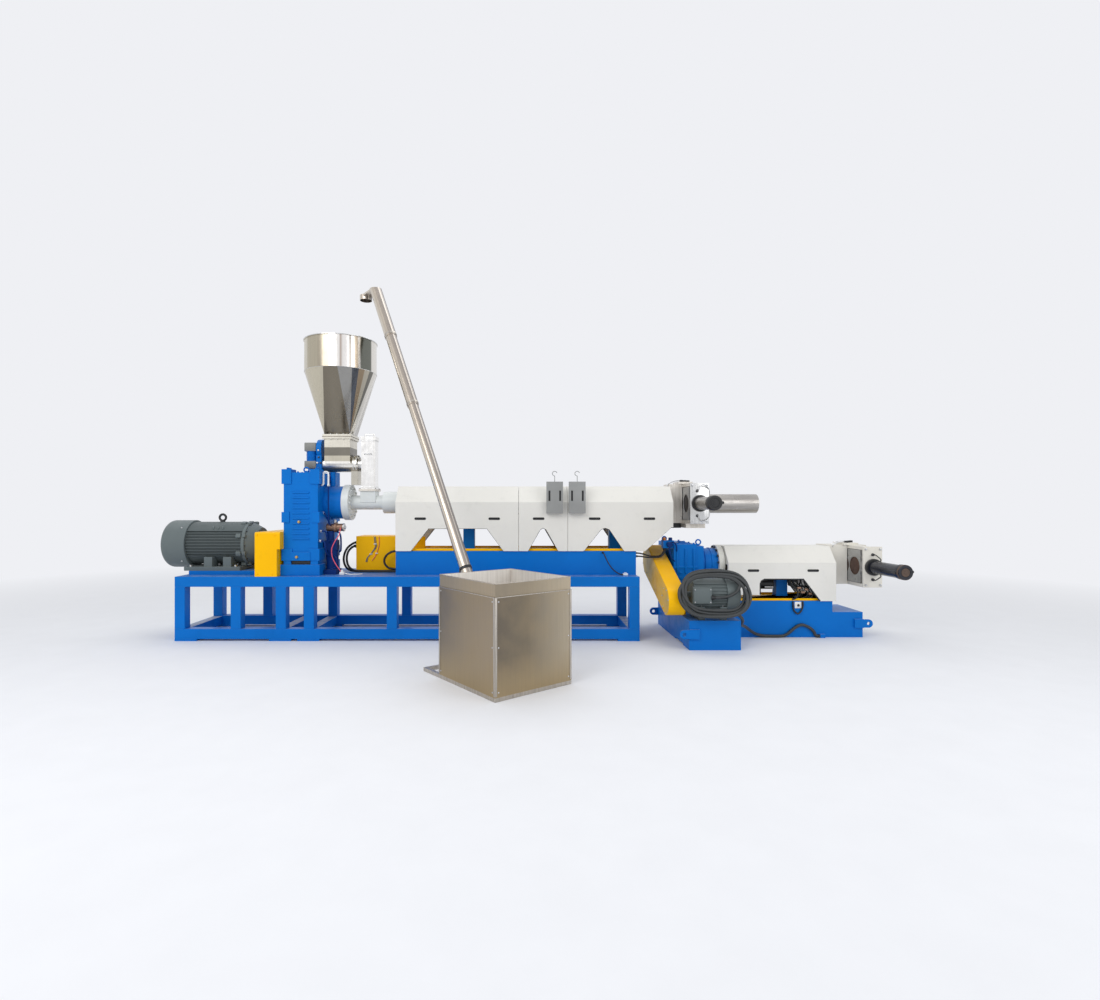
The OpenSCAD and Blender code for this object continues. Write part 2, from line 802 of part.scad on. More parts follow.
module bench() {
    color("royalblue") {
        box_at([x_cover_0, -bench_w / 2, z_frame], [x_cover_0 + bench_l, bench_w / 2, z_bench]);
        for (p = bench_glands)
            bar_x(p[0] - gland_l, x_cover_0 + 5, p[1], p[2], deck_cable_r);
        bar_y(-bench_w / 2 - gland_l, -bench_w / 2 + 5, 2350, 1035, bench_cable_r);
        for (p = [link_routes[0][0], link_routes[1][0]])
            bar_x(x_cover_0 + bench_l - 5, x_cover_0 + bench_l + gland_l, p[1], p[2], link_cable_r);
    }
}

// A shallow tray with turned-up edges
module tray(x0, x1, half_w, z) {
    difference() {
        box_at([x0, -half_w, z], [x1, half_w, z + tray_edge_h]);
        box_at([x0 + sheet_t, -half_w + sheet_t, z + sheet_t], [x1 - sheet_t, half_w - sheet_t, z + tray_edge_h + 1]);
    }
}

module drip_tray() {
    color("gold") {
        tray(x_cover_0 + 20, x_cover_0 + bench_l - 20, cover_half_w - cover_leg_w - 1, z_bench);
        box_at([x_cover_0 + 30, 200, z_bench + sheet_t], [x_cover_0 + 280, 206, z_bench + 155]);
    }
}

// The folded section of a cover, as an outline in Y and Z
function cover_outline(half_w, top_half_w, z0, fold_h, h) = [
    [-half_w, z0], [-half_w, z0 + fold_h], [-top_half_w, z0 + h],
    [top_half_w, z0 + h], [half_w, z0 + fold_h], [half_w, z0]
];

// A cover's shell with its lips and its two end walls
module cover_shell(x0, x1, half_w, top_half_w, z0, fold_h, h, hole_r, z_hole) {
    t = sheet_t;
    difference() {
        profile_yz(cover_outline(half_w, top_half_w, z0, fold_h, h), x0, x1);
        profile_yz(cover_outline(half_w - t, top_half_w - t, z0 + t, fold_h - t, h - 2 * t), x0 + t, x1 - t);
        box_at([x0 - 1, -half_w + cover_lip_w, z0 - 1], [x1 + 1, half_w - cover_lip_w, z0 + t + 1]);
        bar_x(x0 - 1, x1 + 1, 0, z_hole, hole_r);
        for (x = [x0 - 1, x1 - t - 1])
            box_at([x, -half_w + cover_leg_w, z0 - 1], [x + t + 2, half_w - cover_leg_w, z_hole]);
    }
}

// A cut-out through both sides of a cover
module side_cut(points, half_w) {
    plate_xz(points, -half_w - 1, half_w + 1);
}

module handle_slot(x, z, half_w) {
    for (side = [-1, 1])
        box_at([x - 66, side * half_w - 12, z - 11], [x + 66, side * half_w + 12, z + 11]);
}

module cover_1() {
    z0 = z_bench;
    top = z0 + cutout_h;
    color("whitesmoke")
        difference() {
            cover_shell(x_cover_0, x_cover_0 + cover_1_l, cover_half_w, cover_top_half_w, z0, cover_fold_h,
                        cover_h, hot_barrel_r + jacket_t + 5, z_screw);
            side_cut([[x_cover_0 + 185, z0 - 1], [x_cover_0 + 403, top], [x_cover_0 + 1114, top],
                      [x_cover_0 + 1316, z0 - 1]], cover_half_w);
            for (x = [x_cover_0 + 302, x_cover_0 + 1202])
                handle_slot(x, z0 + 395, cover_half_w);
        }
}

module cover_2() {
    z0 = z_bench;
    x = x_cover_2;
    color("whitesmoke")
        difference() {
            cover_shell(x, x + cover_2_l, cover_half_w, cover_top_half_w, z0, cover_fold_h, cover_h,
                        hot_barrel_r + jacket_t + 5, z_screw);
            side_cut([[x + 112, z0 - 1], [x + 262, z0 + cutout_h - 12], [x + 297, z0 + cutout_h + 8],
                      [x + 332, z0 + cutout_h - 12], [x + 483, z0 - 1]], cover_half_w);
            handle_slot(x + 242, z0 + 395, cover_half_w);
        }
}

module cover_3() {
    z0 = z_bench;
    x = x_cover_3;
    x1 = x_cover_end;
    color("whitesmoke")
        difference() {
            cover_shell(x, x1, cover_half_w, cover_top_half_w, z0, cover_fold_h, cover_h,
                        hot_barrel_r + jacket_t + 5, z_screw);
            side_cut([[x + 191, z0 - 1], [x + 404, z0 + cutout_h - 10], [x + 454, z0 + cutout_h + 8],
                      [x + 504, z0 + cutout_h - 10], [x + 685, z0 - 1]], cover_half_w);
            side_cut([[x1 - 343, z0 - 1], [x1 - 22, z0 + 291], [x1 + 1, z0 + 291], [x1 + 1, z0 - 1]],
                     cover_half_w);
            for (dx = [325, 992])
                handle_slot(x + dx, z0 + 395, cover_half_w);
        }
}

module hanging_boxes() {
    y0 = -cover_half_w - hang_box_d;
    z0 = z_screw - 135;
    slot_out = 46;
    color("gray")
        for (i = [0, 1])
            translate([x_cover_3 - 263 + i * hang_box_pitch, 0, 0]) {
                difference() {
                    box_at([0, y0, z0], [hang_box_w, -cover_half_w, z0 + hang_box_h]);
                    for (x = [slot_out / 2, hang_box_w - slot_out])
                        box_at([x, y0 - 1, z0 + 150], [x + 23, y0 + 30, z0 + 275]);
                }
                bar_z(z0 + hang_box_h, z0 + hang_box_h + 70, hang_box_w / 2, y0 + 30, 4);
                translate([hang_box_w / 2, y0 + 30, z0 + hang_box_h + 98])
                    rotate([90, -15, 0])
                        rotate_extrude(angle = 260)
                            translate([28, 0])
                                circle(4);
            }
}

// The cables' glands, as [place on the wall, direction along X, radius]
deck_glands = [[-764, 180, 1130], [-764, 130, 1088]];
bench_glands = [[-178, 12, 779], [-178, -28, 779], [-178, -40, 1034], [-178, -28, 808]];

module deck_box() {
    color("gold") {
        box_at([x_cover_0 - deck_box_l - 14, 70, z_frame], [x_cover_0 - 14, 70 + deck_box_d, z_frame + deck_box_h]);
        for (p = deck_glands)
            bar_x(p[0] - gland_l, x_cover_0 - deck_box_l, p[1], p[2], deck_cable_r);
    }
}

module hopper_drum() {
    color("silver")
        translate([hopper_x, 0, z_drum])
            rotate_extrude()
                polygon([
                    [hopper_r - hopper_t, 0], [hopper_r, 0], [hopper_r, hopper_drum_h - 14],
                    [hopper_r + 7, hopper_drum_h - 14], [hopper_r + 7, hopper_drum_h],
                    [hopper_r - hopper_t, hopper_drum_h]
                ]);
}

// A solid that goes from a square at z0 to a circle at z1
module square_to_round(side, r, z0, z1) {
    hull() {
        translate([-side / 2, -side / 2, z0])
            cube([side, side, 0.01]);
        translate([0, 0, z1 - 0.01])
            cylinder(h = 0.01, r = r, $fn = 32);
    }
}

module hopper_cone() {
    color("silver")
        translate([hopper_x, 0, 0])
            difference() {
                square_to_round(hopper_neck, hopper_r, z_neck, z_drum);
                square_to_round(hopper_neck - 2 * hopper_t, hopper_r - hopper_t, z_neck - 0.1, z_drum + 0.1);
            }
}

module feeder_trough() {
    half = hopper_neck / 2;
    t = hopper_t;
    x_end = hopper_x + 227;
    x_column = x_port - column_l / 2;
    color("silver")
        difference() {
            union() {
                box_at([hopper_x - neck_flange / 2, -neck_flange / 2, z_throat_top],
                       [hopper_x + neck_flange / 2, neck_flange / 2, z_neck]);
                box_at([hopper_x - half, -half, z_trough], [hopper_x + half, half, z_throat_top]);
                bar_x(hopper_x - half - 50, hopper_x + half + 18, 0, z_trough, trough_r);
                bar_x(hopper_x + half + 18, x_end, 0, z_trough, 118);
                bar_x(x_end, x_column, 0, z_trough, cross_tube_r);
                box_at([hopper_x + 157, -100, z_screw + barrel_flange_r - 3], [hopper_x + 237, 100, z_trough]);
            }
            box_at([hopper_x - half + t, -half + t, z_trough + trough_r],
                   [hopper_x + half - t, half - t, z_neck + 1]);
            bar_x(x_bell_1 - 1, x_flange_1 + 1, 0, z_screw, barrel_flange_r);
        }
}

module feeder_drive() {
    x_case = hopper_x - hopper_neck / 2 - 50;
    x_motor = x_case - 138;
    color("royalblue") {
        box_at([x_case - 66, -120, z_trough - 90], [x_case, 70, z_trough + 110]);
        bar_x(x_case - 60, x_case, -20, z_trough + 190, 125);
        bar_z(z_trough + 40, z_trough + 160, x_motor, -60, 62);
        box_at([x_motor - 70, -130, z_trough - 54], [x_motor + 70, 10, z_trough + 40]);
        box_at([x_motor - 70, -130, z_trough + 160], [x_motor + 70, 10, z_trough + 265]);
        box_at([x_motor + 40, -110, z_trough - 20], [x_case - 60, -10, z_trough + 30]);
    }
}

module feed_column() {
    x = x_port;
    half = column_l / 2;
    z1 = z_column + column_h;
    color("silver") {
        box_at([x - port_l / 2, -port_w / 2, z_port_top], [x + port_l / 2, port_w / 2, z_column]);
        box_at([x - half, -column_w / 2, z_column], [x + half, column_w / 2, z1]);
        box_at([x - half - 8, -column_w / 2 - 8, z1], [x + half + 8, column_w / 2 + 8, z1 + column_lid_h]);
        for (dx = [-55, 55])
            bar_z(z1 + column_lid_h, z1 + column_lid_h + 34, x + dx, 0, 7);
        bar_x(x - 62, x + 62, 0, z1 + column_lid_h + 34, 7);
    }
}

// The changer's block, with the slot for its slide plate. x is the slide plate's left face, and x0
// the face that the barrel ends at
module changer_body(x, x0, z) {
    half = changer_h / 2;
    slot = slide_h / 2 + slide_gap;
    difference() {
        union() {
            box_at([x0, -changer_front, z - half], [x + changer_after, changer_rear, z + half]);
            for (low = [z + slot, z - half])
                box_at([x, -mount_plate_y + mount_plate_t, low],
                       [x + tie_w, -changer_front, low + half - slot]);
            box_at([x - 60, -changer_front - 30, z + half], [x + 120, changer_rear - 40, z + half + 28]);
        }
        box_at([x - slide_gap, -changer_front - 1, z - slot], [x + slide_t + slide_gap, changer_rear + 1, z + slot]);
        bar_x(x0 - 1, x - slide_gap + 1, 0, z, screw_bore_r);
        bar_x(x + slide_t, x + changer_after + 1, 0, z, screw_bore_r);
    }
}

// The slide plate with two screens, its crosshead and the piston rod
module changer_slide(x, z) {
    difference() {
        box_at([x, -crosshead_y, z - slide_h / 2], [x + slide_t, slide_rear, z + slide_h / 2]);
        for (y = [-slide_stroke, 0], x0 = [x - 1, x + slide_t - screen_in])
            bar_x(x0, x0 + screen_in + 1, y, z, port_r);
    }
    box_at([x, -crosshead_y - crosshead_t, z - crosshead_h / 2],
           [x + rod_x + 45, -crosshead_y, z + crosshead_h / 2]);
    bar_y(-crosshead_y - crosshead_t - rod_l, -crosshead_y - crosshead_t, x + rod_x, z, piston_rod_r);
}

// The mounting plate and the hydraulic cylinder
module changer_cylinder(x, z, l) {
    y0 = -mount_plate_y;
    half = changer_h / 2;
    difference() {
        union() {
            box_at([x, y0, z - half], [x + mount_plate_w, y0 + mount_plate_t, z + half]);
            bar_y(y0 - 40, y0, x + rod_x, z, cylinder_r + 24);
            bar_y(y0 - l, y0 - 40, x + rod_x, z, cylinder_r);
            bar_y(y0 - l - 30, y0 - l + 60, x + rod_x, z, cylinder_r + 8);
        }
        bar_y(y0 - l + 60, y0 + mount_plate_t + 1, x + rod_x, z, piston_rod_r + 1);
    }
}

module changer_body_1() {
    x = x_changer_1;
    z = z_screw - changer_drop - changer_h / 2;
    color("lightgray") {
        changer_body(x, x_cover_end + cover_gap, z_screw - changer_drop);
        box_at([x - 20, -changer_front - 230, z - 55], [x + changer_after - 20, changer_rear - 40, z]);
        plate_xz([[x - 160, z], [x - 190, z - 60], [x - 20, z - 60], [x - 20, z]], -changer_front, -20);
    }
}

module changer_slide_1() {
    color("silver")
        changer_slide(x_changer_1, z_screw - changer_drop);
}

module changer_cylinder_1() {
    color("lightgray")
        changer_cylinder(x_changer_1, z_screw - changer_drop, cylinder_1_l);
}

module discharge_tube() {
    x0 = x_changer_1 + changer_after;
    z = z_screw - changer_drop;
    color("silver")
        difference() {
            union() {
                bar_x(x0, x0 + discharge_l, 0, z, discharge_r);
                bar_x(x0, x0 + 20, 0, z, discharge_r + 18);
            }
            bar_x(x0 - 1, x0 + discharge_l + 1, 0, z, discharge_r - 4);
        }
}

// A lifting lug in the X-Z plane, from a wall at x towards +X or -X
module lug(x, y, z, dir) {
    difference() {
        union() {
            box_at([dir > 0 ? x - 110 : x, y - lug_t, z - 54], [dir > 0 ? x : x + 110, y, z + 54]);
            box_at([dir > 0 ? x : x - 60, y - lug_t, z - 50], [dir > 0 ? x + 60 : x, y, z + 50]);
            bar_y(y - lug_t, y, x + dir * 60, z, 50);
        }
        bar_y(y - lug_t - 1, y + 1, x + dir * 60, z, lug_hole_r);
    }
}

module base_2_platform() {
    x1 = stage_2_x + platform_l;
    color("royalblue") {
        difference() {
            box_at([stage_2_x, -platform_front, 0], [x1, platform_rear, platform_h]);
            box_at([stage_2_x - 1, -platform_front + 260, -1], [x1 + 1, -base_w / 2 - 60, 20]);
        }
        lug(stage_2_x, -platform_front, 180, -1);
        lug(stage_2_x, platform_rear + lug_t, 170, -1);
    }
}

module base_2_box() {
    half = base_w / 2;
    color("royalblue") {
        box_at([x2_box_0, -half, 0], [x2_step, half, base_high_h]);
        box_at([x2_step, -half, 0], [x2_box_1, half, base_low_h]);
        box_at([4990, -half - 42, 0], [5050, -half, 44]);
        lug(x2_box_1, -half, 172, 1);
        lug(x2_box_1, half + lug_t, 172, 1);
    }
}

module gearbox_2() {
    z0 = axis_2 - gearbox_2_drop;
    z1 = axis_2 + gearbox_2_top;
    x_mid = x2_case_0 + 282;
    color("royalblue") {
        box_at([x2_case_0, -case_2_front, z0], [x_mid, case_2_rear, z1]);
        box_at([x_mid, -case_2_front + 10, z0], [x2_case_1, 300, z1 - 25]);
        bar_x(x2_case_1, x2_bearing_1, 0, axis_2, bearing_2_r);
        for (z = [z0 + 60, z0 + 190])
            box_at([x2_case_0 - 12, -case_2_front - 12, z], [x_mid + 6, case_2_rear + 12, z + 26]);
        bar_x(x2_case_0 - 44, x2_case_0, input_2_rear, axis_2 + 20, 120);
        box_at([x2_case_0 + 30, -case_2_front + 30, platform_h], [x2_bearing_1 - 20, case_2_rear - 30, z0]);
        // The oil pump's box on the case's end, over the belt guard
        box_at([x2_case_0 - 127, -245, z1 - 50], [x2_case_0 + 5, -145, z1 + 44]);
        for (y = [-222, -168])
            bar_z(z1 - 50 - gland_l, z1 - 45, x2_case_0 - 102, y, link_cable_r);
        eye_bolt(x2_case_1 - 24, -100, z1 - 27, 30, 9);
        eye_bolt(x2_case_0 + 30, 360, z1 - 2, 26, 9);
    }
}

module motor_2() {
    y = -motor_2_front;
    x1 = x2_motor_0 + motor_2_body_l;
    x_box = stage_2_x + 48;
    color("slategray") {
        bar_x(x2_motor_0, x1, y, z2_motor, motor_2_r - 16);
        intersection() {
            bar_x(x2_motor_0 + 10, x1, y, z2_motor, motor_2_r);
            union()
                for (i = [-4 : 4])
                    box_at([x2_motor_0, y - motor_2_r, z2_motor + i * 34 - 4],
                           [x1, y + motor_2_r, z2_motor + i * 34 + 4]);
        }
        bar_x(x1, x1 + motor_2_cowl_l, y, z2_motor, motor_2_r + 6);
        bar_x(x2_guard_1, x2_motor_0, y, z2_motor, 34);
        box_at([x_box, y - motor_2_r - 34, z2_motor - 76], [x_box + 188, y - 120, z2_motor + 101]);
        bar_x(x_box + 180, x_box + 188 + 25, y - motor_2_r - 20, z2_motor - 10, cable_r - 2);
        for (dx = [50, 290])
            box_at([x2_motor_0 + dx, y - 170, platform_h], [x2_motor_0 + dx + 70, y + 170, z2_motor - 120]);
        eye_bolt(x2_motor_0 + 117, y, z2_motor + motor_2_r - 20, 34, 10);
    }
}

// The belt guard: two round ends joined by their outer tangents
module belt_guard_2() {
    y_low = -motor_2_front - 60;
    z_low = z2_motor - 65;
    color("gold") {
        translate([x2_guard_0, 0, 0])
            rotate([90, 0, 90])
                linear_extrude(belt_guard_t)
                    hull() {
                        translate([y_low, z_low])
                            circle(belt_guard_low_r);
                        translate([input_2_rear - 20, axis_2 + 15])
                            circle(belt_guard_high_r);
                    }
        box_at([x2_guard_1, -600, z_low + 20], [stage_2_x + 60, -560, z_low + 60]);
        box_at([stage_2_x + 20, -600, platform_h], [stage_2_x + 60, -560, z_low + 20]);
    }
}

module feed_barrel_2() {
    color("silver") {
        bar_x(x2_bearing_1, x2_bearing_1 + 70, 0, axis_2, flange_2_r);
        bar_x(x2_bearing_1 + 70, x2_flange_1, 0, axis_2, flange_2_r - 22);
    }
}

module drip_tray_2() {
    color("gold")
        tray(x2_flange_1 + 10, x2_cover_1 - 60, base_w / 2 - 20, base_high_h);
}

module cover_4() {
    x = x2_flange_1;
    z0 = base_high_h;
    color("whitesmoke")
        difference() {
            cover_shell(x, x2_cover_1, cover_4_half_w, cover_top_half_w, z0, cover_4_fold_h, cover_4_h,
                        hot_barrel_r + jacket_t + 5, axis_2);
            side_cut([[x + 387, z0 - 1], [x + 387, z0 + 210], [x + 401, z0 + 245], [x + 441, z0 + 267],
                      [x + 914, z0 + 267], [x + 1118, z0 - 1]], cover_4_half_w);
            side_cut([[x - 10, z0 - 1], [x - 10, z0 + 75], [x + 388, z0 + 75], [x + 388, z0 - 1]],
                     cover_4_half_w);
            for (dx = [304, 1032])
                handle_slot(x + dx, z0 + 372, cover_4_half_w);
        }
}

module changer_body_2() {
    color("lightgray")
        changer_body(x_changer_2, x2_cover_1 + cover_gap, axis_2 - changer_drop);
}

module changer_slide_2() {
    color("silver")
        changer_slide(x_changer_2, axis_2 - changer_drop);
}

module changer_cylinder_2() {
    color("lightgray")
        changer_cylinder(x_changer_2, axis_2 - changer_drop, cylinder_2_l);
}

// The loader's pieces are drawn in the bin's own axes
module in_loader() {
    translate([bin_corner[0], bin_corner[1], 0])
        rotate([0, 0, bin_turn])
            children();
}

// The loading tube's axis, with Z along the tube
module along_tube() {
    translate([loader_u, loader_v, bin_h])
        rotate([-(90 - loader_slope), 0, 0])
            children();
}

module loader_base() {
    s = loader_tube_s;
    color("silver")
        in_loader() {
            difference() {
                cube([bin_u, loader_base_l, s]);
                translate([s, s, -1])
                    cube([bin_u - 2 * s, bin_v - 2 * s, s + 2]);
                translate([s, bin_v, -1])
                    cube([bin_u - 2 * s, loader_base_l - bin_v - s, s + 2]);
            }
        }
}

module loader_bin() {
    t = bin_t;
    z0 = loader_tube_s;
    z_collar = bin_h - bin_collar_h;
    color("silver")
        in_loader()
            difference() {
                union() {
                    box_at([0, 0, z0], [bin_u, bin_v, z_collar]);
                    box_at([t, t, z_collar], [bin_u - t, bin_v - t, bin_h]);
                }
                box_at([2 * t, 2 * t, z0 + t], [bin_u - 2 * t, bin_v - 2 * t, bin_h + 1]);
                along_tube()
                    translate([0, 0, loader_s0])
                        cylinder(h = -loader_s0 + 400, r = loader_tube_r + 0.3);
            }
}

module loader_tube() {
    s_top = (loader_top - bin_h) / sin(loader_slope) + 120;
    color("silver")
        in_loader()
            intersection() {
                along_tube() {
                    translate([0, 0, loader_s0])
                        cylinder(h = loader_joints[0] - loader_s0, r = loader_tube_r);
                    translate([0, 0, loader_joints[0]])
                        cylinder(h = loader_joints[1] - loader_joints[0], r = loader_tube_r + loader_tube_step);
                    translate([0, 0, loader_joints[1]])
                        cylinder(h = s_top - loader_joints[1], r = loader_tube_r + 2 * loader_tube_step);
                }
                box_at([-500, -500, 0], [1500, 5000, loader_top]);
            }
}

module loader_spout() {
    run = (loader_top - bin_h) / tan(loader_slope);
    v = loader_v + run + spout_ahead;
    color("silver")
        in_loader()
            difference() {
                union() {
                    bar_z(loader_top - spout_drop, loader_top, loader_u, v, spout_r);
                    box_at([loader_u - 60, v - spout_ahead, loader_top - spout_drop + 40],
                           [loader_u + 60, v, loader_top]);
                }
                bar_z(loader_top - spout_drop - 1, loader_top - 6, loader_u, v, spout_r - 4);
                along_tube()
                    cylinder(h = 5000, r = loader_tube_r + 2 * loader_tube_step);
            }
}

function unit(v) = v / norm(v);

function route_dir(p, i) = unit(p[min(i + 1, len(p) - 1)] - p[max(i - 1, 0)]);

// A side direction that turns as little as possible from one ring to the next
function side_dirs(p, i = 0, prev = [0, 1, 0.1]) =
    let (d = route_dir(p, i), s = unit(prev - d * (prev * d)))
    i == len(p) - 1 ? [s] : concat([s], side_dirs(p, i + 1, s));

// A round tube swept along a route
module cable(route, r, sides = 10) {
    p = route;
    s = side_dirs(p);
    n = len(p);
    points = [
        for (i = [0 : n - 1])
            let (d = route_dir(p, i), up = cross(d, s[i]))
            for (k = [0 : sides - 1])
                p[i] + r * (s[i] * cos(k * 360 / sides) + up * sin(k * 360 / sides))
    ];
    faces = concat(
        [[for (k = [0 : sides - 1]) k]],
        [for (i = [0 : n - 2], k = [0 : sides - 1])
            [i * sides + k, (i + 1) * sides + k, (i + 1) * sides + (k + 1) % sides, i * sides + (k + 1) % sides]],
        [[for (k = [sides - 1 : -1 : 0]) (n - 1) * sides + k]]
    );
    polyhedron(points, faces);
}

// A ring with straight flanks, as the outline of the coiled cable
module stadium(r, straight) {
    union() {
        for (side = [-1, 1])
            translate([side * straight / 2, 0])
                circle(r);
        square([straight, 2 * r], center = true);
    }
}

module motor_2_coil() {
    color("black")
        translate(coil_centre)
            rotate([90 - coil_tilt, 0, 0])
                translate([0, 0, -coil_t / 2])
                    linear_extrude(coil_t)
                        difference() {
                            stadium(coil_r, coil_straight);
                            stadium(coil_r - coil_band, coil_straight);
                        }
}

module motor_2_lead() {
    color("black")
        cable(lead_route, cable_r);
}

module motor_2_cable() {
    color("black")
        cable(floor_route, cable_r);
}

module deck_cable_1() {
    color("black")
        cable(deck_routes[0], deck_cable_r);
}

module deck_cable_2() {
    color("black")
        cable(deck_routes[1], deck_cable_r);
}

module deck_cable_3() {
    color("black")
        cable(deck_routes[2], deck_cable_r);
}

module bench_cable() {
    color("black")
        cable(bench_route, bench_cable_r, 8);
}

module link_cable_1() {
    color("black")
        cable(link_routes[0], link_cable_r, 8);
}

module link_cable_2() {
    color("black")
        cable(link_routes[1], link_cable_r, 8);
}

frame_rails();
frame_legs();
frame_cross_rails();
frame_feet();
frame_deck();
motor_pad();
motor_plate();
motor_body();
motor_cowl();
motor_end_shield();
coupling_guard();
gearbox_pedestal();
gearbox_case();
bell_housing();
lube_unit();
lube_pump();
feed_barrel();
heated_barrel();
barrel_posts();
barrel_blowers();
bench();
drip_tray();
cover_1();
cover_2();
cover_3();
hanging_boxes();
deck_box();
hopper_drum();
hopper_cone();
feeder_trough();
feeder_drive();
feed_column();
changer_body_1();
changer_slide_1();
changer_cylinder_1();
discharge_tube();
base_2_platform();
base_2_box();
gearbox_2();
motor_2();
belt_guard_2();
feed_barrel_2();
drip_tray_2();
cover_4();
changer_body_2();
changer_slide_2();
changer_cylinder_2();
loader_base();
loader_bin();
loader_tube();
loader_spout();
motor_2_lead();
motor_2_coil();
motor_2_cable();
deck_cable_1();
deck_cable_2();
deck_cable_3();
bench_cable();
link_cable_1();
link_cable_2();
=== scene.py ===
"""Looks of a two-stage plastic extruder line with its screw loader.

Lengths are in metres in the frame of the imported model: the origin is on the floor in the middle of the
long frame, +X runs with the melt, +Z is up and the operator stands on the -Y side. The solids of the
model are finished with rounded edges and paint, and the small parts are added on them.
"""
import math

import bmesh
import bpy
import numpy as np
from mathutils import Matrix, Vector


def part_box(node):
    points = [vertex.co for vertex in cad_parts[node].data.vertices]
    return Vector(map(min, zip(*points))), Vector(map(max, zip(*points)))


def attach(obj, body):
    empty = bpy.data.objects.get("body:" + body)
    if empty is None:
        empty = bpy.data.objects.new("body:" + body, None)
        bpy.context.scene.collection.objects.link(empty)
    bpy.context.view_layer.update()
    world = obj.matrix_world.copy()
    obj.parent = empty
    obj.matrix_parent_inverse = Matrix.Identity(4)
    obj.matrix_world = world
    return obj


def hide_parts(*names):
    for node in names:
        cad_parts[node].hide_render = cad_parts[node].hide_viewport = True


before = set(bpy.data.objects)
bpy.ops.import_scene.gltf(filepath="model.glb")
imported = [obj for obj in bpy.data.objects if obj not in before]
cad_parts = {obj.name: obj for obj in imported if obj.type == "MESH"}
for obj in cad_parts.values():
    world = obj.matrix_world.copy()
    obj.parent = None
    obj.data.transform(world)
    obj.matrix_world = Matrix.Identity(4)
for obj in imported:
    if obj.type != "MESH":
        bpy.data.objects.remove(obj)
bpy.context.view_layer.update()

bl_info = {
    "name": "Plastic Extruder Line",
    "version": (1, 0, 0),
    "blender": (4, 5, 0),
    "location": "View3D > Sidebar > Extruder",
    "description": "Finishes the packed extruder line and adds its small parts, cables and stage",
    "category": "Add Mesh",
}

# Angles in degrees above which an edge is sharp, on the model's solids and on the added pieces
SOLID_CREASE = 30.0
PIECE_CREASE = 35.0

# The photo's camera, found from the frame's edges: its picture's width, focal length and how far its
# centre is off, in pixels, and its place
PHOTO_W = 1100.0
FOCAL = 590.0
CENTRE_OFF = (550.0 - 522.6, 508.0 - 500.0)
CAMERA_AT = (1.37, -7.5, 1.58)

# The floor: half its width, the distances from the line's middle between which it fades into the
# backdrop, and the shift that brings that middle to the origin
FLOOR_REACH = 90.0
FLOOR_FADE = (6.0, 13.0)
FLOOR_SHIFT = (-1.3, 0.6, 0.0)

# Axes and ends of the line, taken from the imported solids
HOPPER_X = -0.937
COLUMN_X = -0.572
TROUGH_Z = 2.13
COVER_X = (-0.178, 1.323, 1.922)
COVER_4_X = 3.879
MOTOR_Z = 1.13
SCREW_Z = 1.65
SCREW_2_Z = 0.885
MOTOR_2_AXIS = (-0.74, 0.595)
CHANGERS = (("1", 3.38, 1.636, 0.54), ("2", 5.456, 0.871, 0.58))
CHANGER_LINES = {
    "1": (
        (0, -0.03, 0), (0, -0.052, 0), (0.008, -0.062, 0.028), (0.04, -0.05, 0.068), (0.085, -0.03, 0.066),
        (0.128, -0.01, 0.035), (0.152, 0.02, -0.01), (0.154, 0.05, -0.05), (0.148, 0.11, -0.07),
        (0.135, 0.19, -0.07),
    ),
    "2": (
        (0, -0.03, 0), (0, -0.06, 0), (0.012, -0.085, -0.018), (0.03, -0.11, -0.045),
        (0.02, -0.13, -0.065), (0.008, -0.13, -0.078),
    ),
}
BOX_PITCH = 0.272
BOX_WIDTH = 0.198
BIN_CORNER = np.array([1.146, -2.72, 0.0])
BIN_WIDE, BIN_DEEP, BIN_TOP, COLLAR_Z = 0.84, 0.9, 0.965, 0.846
BIN_U = np.array([math.cos(math.radians(38)), math.sin(math.radians(38)), 0.0])
BIN_V = np.array([-BIN_U[1], BIN_U[0], 0.0])

# Open outlines of the cut-outs in the covers: half width, radius of the black edging that paints shade along
# them, and corners in X and Z
WINDOWS = (
    (0.32, 0.0045, ((0.007, 1.057), (0.225, 1.33), (0.936, 1.33), (1.138, 1.057))),
    (0.32, 0.0045, ((1.435, 1.057), (1.585, 1.318), (1.62, 1.338), (1.655, 1.318), (1.806, 1.057))),
    (0.32, 0.0045, ((2.113, 1.057), (2.326, 1.32), (2.376, 1.338), (2.426, 1.32), (2.607, 1.057))),
    (0.32, 0.0035, ((2.861, 1.057), (3.182, 1.346), (3.2, 1.346))),
    (0.31, 0.009, (
        (4.266, 0.525), (4.266, 0.655), (4.28, 0.69), (4.32, 0.712), (4.793, 0.712), (4.996, 0.447),
    )),
)

